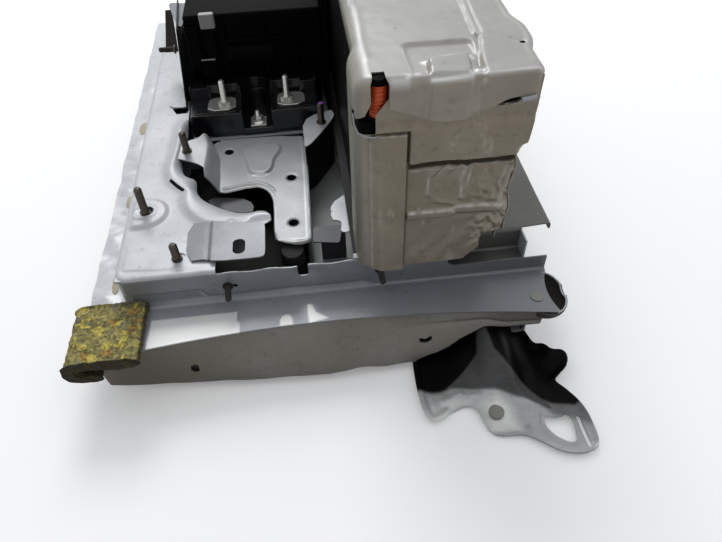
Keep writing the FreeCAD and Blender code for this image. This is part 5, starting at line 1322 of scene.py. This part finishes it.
def prism(name, outline, low, high, axis, material, bevel=0.0, segments=3):
    """An outline carried along an axis: 0, 1 or 2 for X, Y or Z; the outline's two numbers are the
    other two coordinates in order."""
    outline = np.asarray(outline, float)
    area = np.sum(outline[:, 0] * np.roll(outline[:, 1], -1) - outline[:, 1] * np.roll(outline[:, 0], -1))
    if (area < 0) != (axis == 1):
        outline = outline[::-1]
    count = len(outline)
    ends = [np.insert(outline, axis, level, axis=1) for level in (low, high)]
    ring = np.arange(count)
    following = (ring + 1) % count
    sides = np.stack([ring, following, following + count, ring + count], axis=1).tolist()
    faces = sides + [ring[::-1].tolist(), (ring + count).tolist()]
    piece = make_piece(name, np.concatenate(ends), faces, material, angle=30)
    return round_over(piece, bevel, segments) if bevel else piece


def arc(centre, radius, start, end, count=10):
    """Points on an arc, angles in degrees."""
    angles = np.radians(np.linspace(start, end, count))
    return list(zip(centre[0] + radius * np.cos(angles), centre[1] + radius * np.sin(angles)))


def tube(name, path, radii, material, sides=20):
    """A round tube along a path of points, with a radius for each; its ends are capped."""
    path, radii = np.asarray(path, float), np.asarray(radii, float)
    forward = np.gradient(path, axis=0)
    forward /= np.linalg.norm(forward, axis=1, keepdims=True)
    helper = np.array([1.0, 0.02, 0.03]) if abs(forward[0, 0]) < 0.9 else np.array([0.02, 1.0, 0.03])
    side = np.cross(forward, helper)
    side /= np.linalg.norm(side, axis=1, keepdims=True)
    over = np.cross(forward, side)
    a = np.linspace(0, 2 * math.pi, sides, endpoint=False)
    ring = (np.cos(a)[None, :, None] * side[:, None, :] + np.sin(a)[None, :, None] * over[:, None, :])
    points = (path[:, None, :] + ring * radii[:, None, None]).reshape(-1, 3)
    k = np.arange(sides)
    rows = np.arange(len(path) - 1)[:, None] * sides
    nexts = (k + 1) % sides
    quads = np.stack([rows + k, rows + nexts, rows + nexts + sides, rows + k + sides],
                     axis=-1).reshape(-1, 4).tolist()
    quads += [k[::-1].tolist(), ((len(path) - 1) * sides + k).tolist()]
    return make_piece(name, points, quads, material)


def blob(name, centre, reach_x, reach_y, height, material, seed):
    """A low uneven drop on a level sheet."""
    x0, y0, z0 = centre

    def inside(u, v):
        return np.hypot((u - x0) / reach_x, (v - y0) / reach_y) * 3 - 3 + 0.5 * waves(u, v, reach_x, seed, 1)

    def place(u, v):
        r = np.hypot((u - x0) / reach_x, (v - y0) / reach_y)
        uneven = 0.8 + 0.3 * waves(u, v, reach_x, seed + 1, 2)
        return u, v, z0 + 0.3 + height * np.maximum(1 - r * r, 0) * uneven

    us = grid_lines((x0 - reach_x * 1.4, x0 + reach_x * 1.4, reach_x / 7))
    vs = grid_lines((y0 - reach_y * 1.4, y0 + reach_y * 1.4, reach_y / 7))
    return pressed_sheet(name, us, vs, inside, place, 0.3, material)


def foam_seal():
    """Chip foam folded round the flange's front corner: a profile in X and Z carried along Y, its
    surface rough. Profile: upper layer, round bend on the left, lower layer, slot between."""
    profile = soft_path([(-168, 60.5), (-168, 71), (-222, 71), (-233, 69), (-237, 60), (-235, 49),
                         (-227, 44.8), (-205.5, 44.8), (-205.5, 50.5), (-227, 50.5), (-231, 56),
                         (-228, 62.5), (-206, 62.5), (-203, 60.5)], 2)
    closed = np.vstack([profile, profile[:1]])
    length = path_lengths(closed)
    count = 150
    s = np.linspace(0, length[-1], count, endpoint=False)
    px, pz = np.interp(s, length, closed[:, 0]), np.interp(s, length, closed[:, 1])
    near, far = -293, -224.5
    ys = grid_lines((near, far, 1.5))
    i, j = np.meshgrid(np.arange(count), np.arange(len(ys)), indexing="ij")
    x, z, y = px[i], pz[i], ys[j]
    tx, tz = np.gradient(px)[i], np.gradient(pz)[i]
    size = np.hypot(tx, tz) + 1e-9
    rough = 0.9 * waves(s[i], y, 17, 131, 4) + 0.5 * waves(s[i] * 1.3, y, 6, 133, 2)
    keep_top = np.clip(rough, -1.2, 0.9) * np.where(z > 60.4, 1, 0.5)
    ends = fade(np.minimum(y - near, far - y), 0, 3)
    x = x - tz / size * (keep_top - 1.6 * ends)
    z = z + tx / size * (keep_top - 1.6 * ends)
    front = ramp(-y, 286, 293)
    y = y + 1.2 * waves(x, z, 14, 135, 2) * front + 1.2 * front
    points = np.stack([x, y, z], axis=-1).reshape(-1, 3)
    cols = len(ys)
    a = (np.arange(count)[:, None] * cols + np.arange(cols - 1)[None, :])
    b = ((np.arange(count)[:, None] + 1) % count * cols + np.arange(cols - 1)[None, :])
    quads = np.stack([a, b, b + 1, a + 1], axis=-1).reshape(-1, 4).tolist()
    ring = np.arange(count) * cols
    quads += [ring[::-1].tolist(), (ring + cols - 1).tolist()]
    return make_piece("chip_foam_fold", points, quads, FOAM, angle=60)


def serrated(name, centre, radius, height, material, teeth=22):
    """Toothed collar: alternating radii round a circle."""
    a = np.linspace(0, 2 * math.pi, teeth * 2, endpoint=False)
    r = np.where(np.arange(teeth * 2) % 2, radius, radius - 0.8)
    outline = np.stack([centre[0] + r * np.cos(a), centre[1] + r * np.sin(a)], axis=1)
    return prism(name, outline, centre[2], centre[2] + height, 2, material)


def make_block():
    """Terminal block: front step and rear step from plan outlines, an arched rim round the earth
    slot, pockets behind the plates."""
    slot = (EARTH_X, 58)
    arch = arc(slot, 17.5, 0, 180, 14)[::-1][1:-1]
    front = ([(-136, 24), (-75, 24), (-75, 58)] + arch
             + [(-40, 58), (-40, 24), (17, 24), (17, 78), (-136, 78)])
    rear = ([(-136, 85), (-136, 60), (-113, 60), (-113, 66), (-78, 66), (-78, 60), (-76, 60)]
            + arc((EARTH_X, 60), 18.5, 180, 0, 12)
            + [(-39, 60), (-38, 60), (-38, 66), (-3, 66), (-3, 60), (17, 60), (17, 85)])
    rim = (arc(slot, 19.6, 0, 180, 16) + [(-77.1, 25.5), (-75, 25.5)]
           + arc(slot, 17.5, 180, 0, 16) + [(-40, 25.5), (-37.9, 25.5)])
    pieces = [prism("block_front_step", front, 82, 111, 2, NYLON, 1.2),
              prism("block_rear_step", rear, 110, 127, 2, NYLON, 1.0),
              prism("block_arch_rim", rim, 108, 113.5, 2, NYLON, 0.5)]
    for index, (x0, x1) in enumerate(((-134, -78.5), (-36.5, 15))):
        pieces.append(boxed(f"block_front_rail_{index}", (x0, 22.6, 106), (x1, 25.2, 112.6), NYLON, 0.6))
        # painted shade: black strips in the grooves behind the front rails
        pieces.append(boxed(f"block_groove_shade_{index}", (x0 + 3, 27.5, 110.6), (x1 - 3, 31, 111.4),
                            SHADOW_NYLON, 0.2))
    for index, x in enumerate((-134.5, -113, -78.5, -36.5, -3, 15.5)):
        pieces.append(boxed(f"block_rib_{index}", (x - 1.2, 60, 108), (x + 1.2, 78, 130), NYLON, 0.7))
    pieces.append(boxed("block_slot_floor", (-76, 23, 82), (-39, 76, 89.9), NYLON, 0.8))
    return pieces


def make_terminal_plates():
    """Plates with a serrated collar and a threaded stud each."""
    plates, studs = [], []
    for name, x, lean in (("minus", -95.5, -3), ("plus", -20.2, 5)):
        outline = soft_path([(x - 17 + lean, 32), (x + 17 + lean, 32), (x + 17 + lean, 56),
                             (x + 10 + lean, 61), (x - 12 + lean, 61), (x - 17 + lean, 54)], 1)
        plates.append(prism(f"{name}_plate", outline, 111, 113.2, 2, TINNED, 0.7))
        plates.append(serrated(f"{name}_collar", (x, 47, 113.2), 7.6, 3.6, TINNED))
        studs.append(threaded_stud(f"{name}_stud", (x, 47, 113), (0.02, 0.01, 1), 3.5, 30, 1.1,
                                   BRIGHT_ZINC, collar=(5.2, 5.0)))
    return plates, studs


def make_earth_nut():
    """Flange nut on its square washer and stud."""
    x, y = EARTH_X, 36
    hexagon = arc((x, y), 6.3, 10, 310, 6)
    washer = boxed("earth_square_washer", (x - 9.6, y - 9.6, 90), (x + 9.6, y + 9.6, 91.6),
                   BRIGHT_ZINC, 0.5)
    nut = [turned("earth_nut_flange", [(8.6, 0), (8.6, 0.8), (6.6, 2.2), (0.4, 2.4)], (x, y, 91.6),
                  (0, 0, 1), BRIGHT_ZINC), prism("earth_nut_body", hexagon, 92.8, 98.6, 2, BRIGHT_ZINC, 0.6)]
    shank = threaded_stud("earth_thread", (x, y, 97), (0, 0, 1), 3.0, 9, 1.0, BRIGHT_ZINC, (3.2, 0.6))
    return washer, nut, shank


def make_housing():
    """Junction housing: body with a broad rounded lower front edge, ribs, barrel, cheeks, foot, lid
    and latch."""
    section = [(330, 127), (330, 200), (74, 200), (74, 152)] + arc((98, 151), 24, 180, 270, 12)
    pieces = [prism("housing_body", section, -128, 30, 0, DEEP_NYLON, 3.0, 4)]
    for index, (x0, x1, z0, z1) in enumerate(((-128, -112, 150, 198), (-88, -82, 140, 196),
                                              (-40, -36, 138, 196), (-4, 0, 140, 196), (22, 28, 146, 198))):
        pieces.append(boxed(f"housing_rib_{index}", (x0, 70.5, z0), (x1, 84, z1), DEEP_NYLON, 1.6))
    pieces.append(tube("housing_barrel", [(-84, 78, 160), (-30, 78, 160)], [13, 13], DEEP_NYLON, 28))
    pieces.append(tube("housing_barrel_lip", [(-82, 77, 160), (-76, 77, 160)], [15, 15], DEEP_NYLON, 28))
    pieces.append(boxed("housing_shelf_edge", (-110, 71, 176), (26, 80, 180), DEEP_NYLON, 1.5))
    pieces.append(prism("housing_side_cheek", [(-127, 200), (-133, 185), (-142, 130), (-143.5, 103.5),
                                               (-127, 103.5)], 75, 200, 1, DEEP_NYLON, 0.8))
    pieces.append(boxed("housing_cheek", (30.1, 74, 128), (36.5, 329, 261), DEEP_NYLON, 0.8))
    foot = boxed("housing_foot_block", (-124, 86, 82), (24, 324, 128), DEEP_NYLON, 1.0)
    lid = [boxed("housing_lid_plate", (-127.5, 74.5, 200.2), (29.5, 329.5, 208.8), DEEP_NYLON, 3.2, 4),
           boxed("housing_lid_rim", (-128, 74, 197.5), (30, 330, 202), DEEP_NYLON, 1.2)]
    # painted light: the latch's face grey where it is lit, and a grey painted highlight on the step's edge
    latch = [boxed("latch_face", (-108, 66.5, 196), (-91.5, 73.8, 213), GREY_NYLON, 1.4),
             boxed("latch_tongue", (-105, 68, 155), (-94, 73.8, 197), DEEP_NYLON, 1.2),
             boxed("latch_step", (-115, 66, 138), (-98.5, 75, 160), DEEP_NYLON, 0.8),
             boxed("latch_step_edge", (-115, 65.6, 159.2), (-98.5, 67, 160.6), GREY_NYLON, 0.3)]
    return pieces, foot, lid, latch


def make_conduit():
    """Ribbed orange conduit up from its plug; a black band and cap carry on to the boot."""
    rise = np.linspace(255.5, 283.5, 70)
    path = np.stack([54.4 + 0 * rise, -227 - 3.4 * ramp(rise, 256, 276), rise], axis=1)
    ribs = 6.0 + 0.5 * np.clip(np.sin((rise - 255.5) * 2 * math.pi / 3.4) * 1.6, -1, 1)
    conduit = tube("conduit_ribbed", path, ribs, ORANGE, 28)
    band = turned("conduit_band", [(6.3, 0), (6.6, 0.3), (6.4, 3.2), (5.0, 5.0), (0.5, 5.6)],
                  (54.4, -230, 283), (0, 0, 1), DEEP_NYLON)
    plug = [prism("plug_body", soft_path([(37.6, -232), (60.6, -232), (60.6, -209), (37.6, -209)], 2),
                  240.4, 252, 2, DEEP_NYLON, 1.2),
            turned("plug_collar", [(7.4, 0), (7.4, 2.6), (6.4, 3.4), (0.5, 3.5)], (54.4, -227, 252.5),
                   (0, 0, 1), DEEP_NYLON)]
    return conduit, band, plug


def keep_cad(node, material):
    """The CAD solid as it is, in its material."""
    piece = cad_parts[node]
    piece.data.materials.clear()
    piece.data.materials.append(material)
    return piece


def stand(pieces, slot, *nodes):
    """New pieces: they ride on the pack; the slot is not used; the first stands for CAD nodes."""
    pieces = pieces if isinstance(pieces, (list, tuple)) else [pieces]
    for index, piece in enumerate(pieces):
        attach(piece, "root")
        if nodes and index == 0:
            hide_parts(*nodes)
    return pieces[0]


for node, material in {
        "lower_case": GALVANISED, "skid_left": GALVANISED, "skid_right": GALVANISED,
        "stud_plate": GALVANISED, "bay_pan": PAN_SHEET, "electronics_shelf": GALVANISED,
        "stack_support": GALVANISED,
        "cover_rear": COVER_SHEET, "conduit_boot": NYLON, "ledge_plug": PLUG_GREY,
        "lower_tray": NYLON, "lower_cells": CELL_SLEEVE, "lower_carrier": NYLON,
        "lower_bus_bars": TINNED, "upper_tray": NYLON, "upper_cells": CELL_SLEEVE,
        "upper_carrier": NYLON, "upper_bus_bars": TINNED, "front_end_plate": ALUMINIUM,
        "rear_end_plate": ALUMINIUM, "control_unit": ALUMINIUM}.items():
    keep_cad(node, material)

stand([deck_sheet(), right_plate()], "galvanised_sheet", "upper_deck")
stand(apron_sheet(), "galvanised_sheet", "front_apron")
stand(channel_tube(), "galvanised_sheet", "closing_channel")
stand([leg_sheet(), leg_plug()], "galvanised_sheet", "front_mount_leg")
stand([bridge_sheet(), bridge_skirt()], "galvanised_sheet", "bridge_bracket")
stand(stay_sheets(), "galvanised_sheet", "side_stay")
stand(slotted_sheet(), "galvanised_sheet", "slotted_bracket")
stand(bay_details(), "galvanised_sheet")
stand([gusset_sheet(), gusset_wall()], "galvanised_sheet", "gusset_bracket")
stand(upright_sheets(), "dark_sheet", "upright_bracket")
stand(cover_top_sheet(), "cover_sheet", "cover_top")
stand(cover_left_sheet(), "cover_sheet", "cover_left")
stand(cover_right_sheet(), "cover_sheet", "cover_right")
stand([end_panel_sheet(),
       tube("end_panel_weld", [(159.5, -241.6, 266.8), (165, -241.9, 267.4), (171, -240.6, 268.3)],
            [1.7, 1.9, 1.5], GALVANISED, 12)], "cover_sheet", "cover_end_panel")
stand(foam_seal(), "chip_foam", "corner_seal")
stand(make_block(), "black_plastic", "terminal_block")
block_plates, block_studs = make_terminal_plates()
stand(block_plates, "tinned_copper", "terminal_plates")
stand(block_studs, "zinc_steel", "terminal_studs")
earth_washer, earth_nut, earth_thread = make_earth_nut()
stand(earth_washer, "zinc_steel", "earth_washer")
stand(earth_nut, "zinc_steel", "earth_nut")
stand(earth_thread, "zinc_steel", "earth_stud")
housing_body, housing_foot, housing_lid, housing_latch = make_housing()
stand(housing_body, "black_plastic", "junction_housing")
stand(housing_foot, "black_plastic", "housing_foot")
stand(housing_lid, "black_plastic", "housing_lid")
stand(housing_latch, "grey_plastic", "housing_latch")
ribbed_conduit, conduit_band, conduit_plug = make_conduit()
stand(ribbed_conduit, "orange_plastic", "hv_conduit")
stand(conduit_plug + [conduit_band], "black_plastic", "conduit_plug")
stand([threaded_stud("rear_deck_thread", (-171.7, -131.3, 98.6), (0, 0, 1), 4, 35, 1.25, STUD_STEEL,
                     (5.2, 3.6)),
       threaded_stud("front_deck_thread", (-134.6, -200, 98.6), (-0.02, 0, 1), 4, 19.4, 1.25,
                     STUD_STEEL, (5.2, 2.4))], "zinc_steel", "deck_studs")
stand([threaded_stud("bridge_thread", (-137.4, -29.7, 101.6), (-0.03, 0, 1), 4, 25, 1.25, STUD_STEEL,
                     (5.6, 1.8)),
       threaded_stud("gusset_thread", (18, 1.7, 104), (0, 0.03, 1), 4, 25, 1.25, STUD_STEEL,
                     (5.6, 1.8)),
       turned("gusset_paint_mark", [(2.6, -0.4), (2.9, 0.4), (2.0, 0.9), (0.3, 1.0)], (18.8, 2.6, 128.9),
              (0.1, 0.1, 1), VIOLET)], "zinc_steel", "bracket_studs")
stand([threaded_stud("left_wall_thread", (-89.4, -224, 80), (0.06, -1, 0.02), 3, 19, 1.0, DARK_STUD,
                     (5, 1.5)),
       threaded_stud("right_wall_thread", (56.5, -224, 82), (0.03, -1, 0.02), 3, 19, 1.0, DARK_STUD,
                     (5, 1.5))], "zinc_steel", "wall_studs")
stand(threaded_stud("upright_thread", (-142.5, 74, 172), (-1, 0, 0.04), 3, 19, 1.0, STUD_STEEL,
                    (5, 1.5)), "zinc_steel", "upright_stud")
for index, (x, y, reach_x, reach_y) in enumerate(((-211, -228, 9, 12), (-205, -186, 4, 16),
                                                  (-209, -60, 4, 10), (-212, 90, 5, 14))):
    stand(blob(f"sealant_drop_{index}", (x, y, 60), reach_x, reach_y, 1.6, SEALANT, 151 + index),
          "galvanised_sheet")


def seen_plainly(tree):
    """1 where the camera, a reflection or a view through glass meets the backdrop, else 0."""
    path = tree.nodes.new("ShaderNodeLightPath")
    seen = path.outputs["Is Camera Ray"]
    for kind in ("Is Glossy Ray", "Is Transmission Ray"):
        seen = add_node(tree, "ShaderNodeMath", {"operation": "MAXIMUM"}, i0=seen,
                        i1=path.outputs[kind]).outputs[0]
    return seen


def make_stage():
    """Pale floor, a large soft lamp above and behind, a small one at the right, and a sky that is
    bright above and behind the pack and dim in front of it, as under a workshop's roof lights."""
    bpy.ops.mesh.primitive_plane_add(size=30, location=(0, 0, -0.0005))
    floor = bpy.context.object
    floor.name = "studio_floor"
    material, tree, shader = new_material("studio_paper")
    seen = seen_plainly(tree)
    tree.links.new(mix_colours(tree, seen, colour("#9a9a9a"), colour("#f6f6f6")),
                   shader.inputs["Base Color"])
    shader.inputs["Roughness"].default_value = 0.95
    shader.inputs["Emission Color"].default_value = (1, 1, 1, 1)
    glow = add_node(tree, "ShaderNodeMath", {"operation": "MULTIPLY"}, i0=seen, i1=0.22)
    tree.links.new(glow.outputs[0], shader.inputs["Emission Strength"])
    floor.data.materials.append(material)

    world = bpy.data.worlds.new("studio_sky")
    bpy.context.scene.world = world
    world.use_nodes = True
    tree = world.node_tree
    sky = tree.nodes["Background"]
    sky.inputs[0].default_value = (0.95, 0.97, 1.0, 1)
    way = tree.nodes.new("ShaderNodeTexCoord").outputs["Generated"]
    toward = add_node(tree, "ShaderNodeVectorMath", {"operation": "DOT_PRODUCT"}, i0=way,
                      i1=(0.0, 0.62, 0.78)).outputs["Value"]
    tree.links.new(stretch(tree, toward, -0.1, 0.95, 0.05, 0.95), sky.inputs[1])
    bright = add_node(tree, "ShaderNodeBackground", Color=(1, 1, 1, 1), Strength=1.0)
    mix = add_node(tree, "ShaderNodeMixShader", i0=seen_plainly(tree), i1=sky.outputs[0],
                   i2=bright.outputs[0])
    tree.links.new(mix.outputs[0], tree.nodes["World Output"].inputs[0])

    for name, place, aim, power, size in (
            ("back_lamp", (-0.25, 1.7, 2.0), (0, 0, 0.1), 26, 1.1),
            ("right_lamp", (1.9, -0.9, 0.7), (0.2, -0.38, 0.0), 1.3, 0.6)):
        data = bpy.data.lights.new(name, "AREA")
        data.energy = power
        data.size = size
        lamp = bpy.data.objects.new(name, data)
        bpy.context.collection.objects.link(lamp)
        lamp.location = place
        lamp.rotation_mode = "QUATERNION"
        lamp.rotation_quaternion = (Vector(aim) - Vector(place)).to_track_quat("-Z", "Y")


def make_camera():
    """The photograph's camera, worked out from the pack's straight edges."""
    right = (0.99282, -0.11749, -0.02248)
    up = (0.10090, 0.72156, 0.68496)
    forward = (0.06426, 0.68231, -0.72824)
    data = bpy.data.cameras.new("photo_camera")
    focal_px, width_px, sensor_mm = 615.58, 722, 36
    data.sensor_width = sensor_mm
    data.lens = focal_px / width_px * sensor_mm
    data.clip_start, data.clip_end = 0.02, 60
    camera = bpy.data.objects.new("photo_camera", data)
    bpy.context.collection.objects.link(camera)
    columns = np.array([right, up, [-c for c in forward]]).T
    matrix = Matrix(columns.tolist()).to_4x4()
    matrix.translation = (0, -0.628, 0.513)
    camera.matrix_world = matrix
    bpy.context.scene.camera = camera


make_stage()
make_camera()
bpy.context.scene.view_settings.view_transform = "Standard"
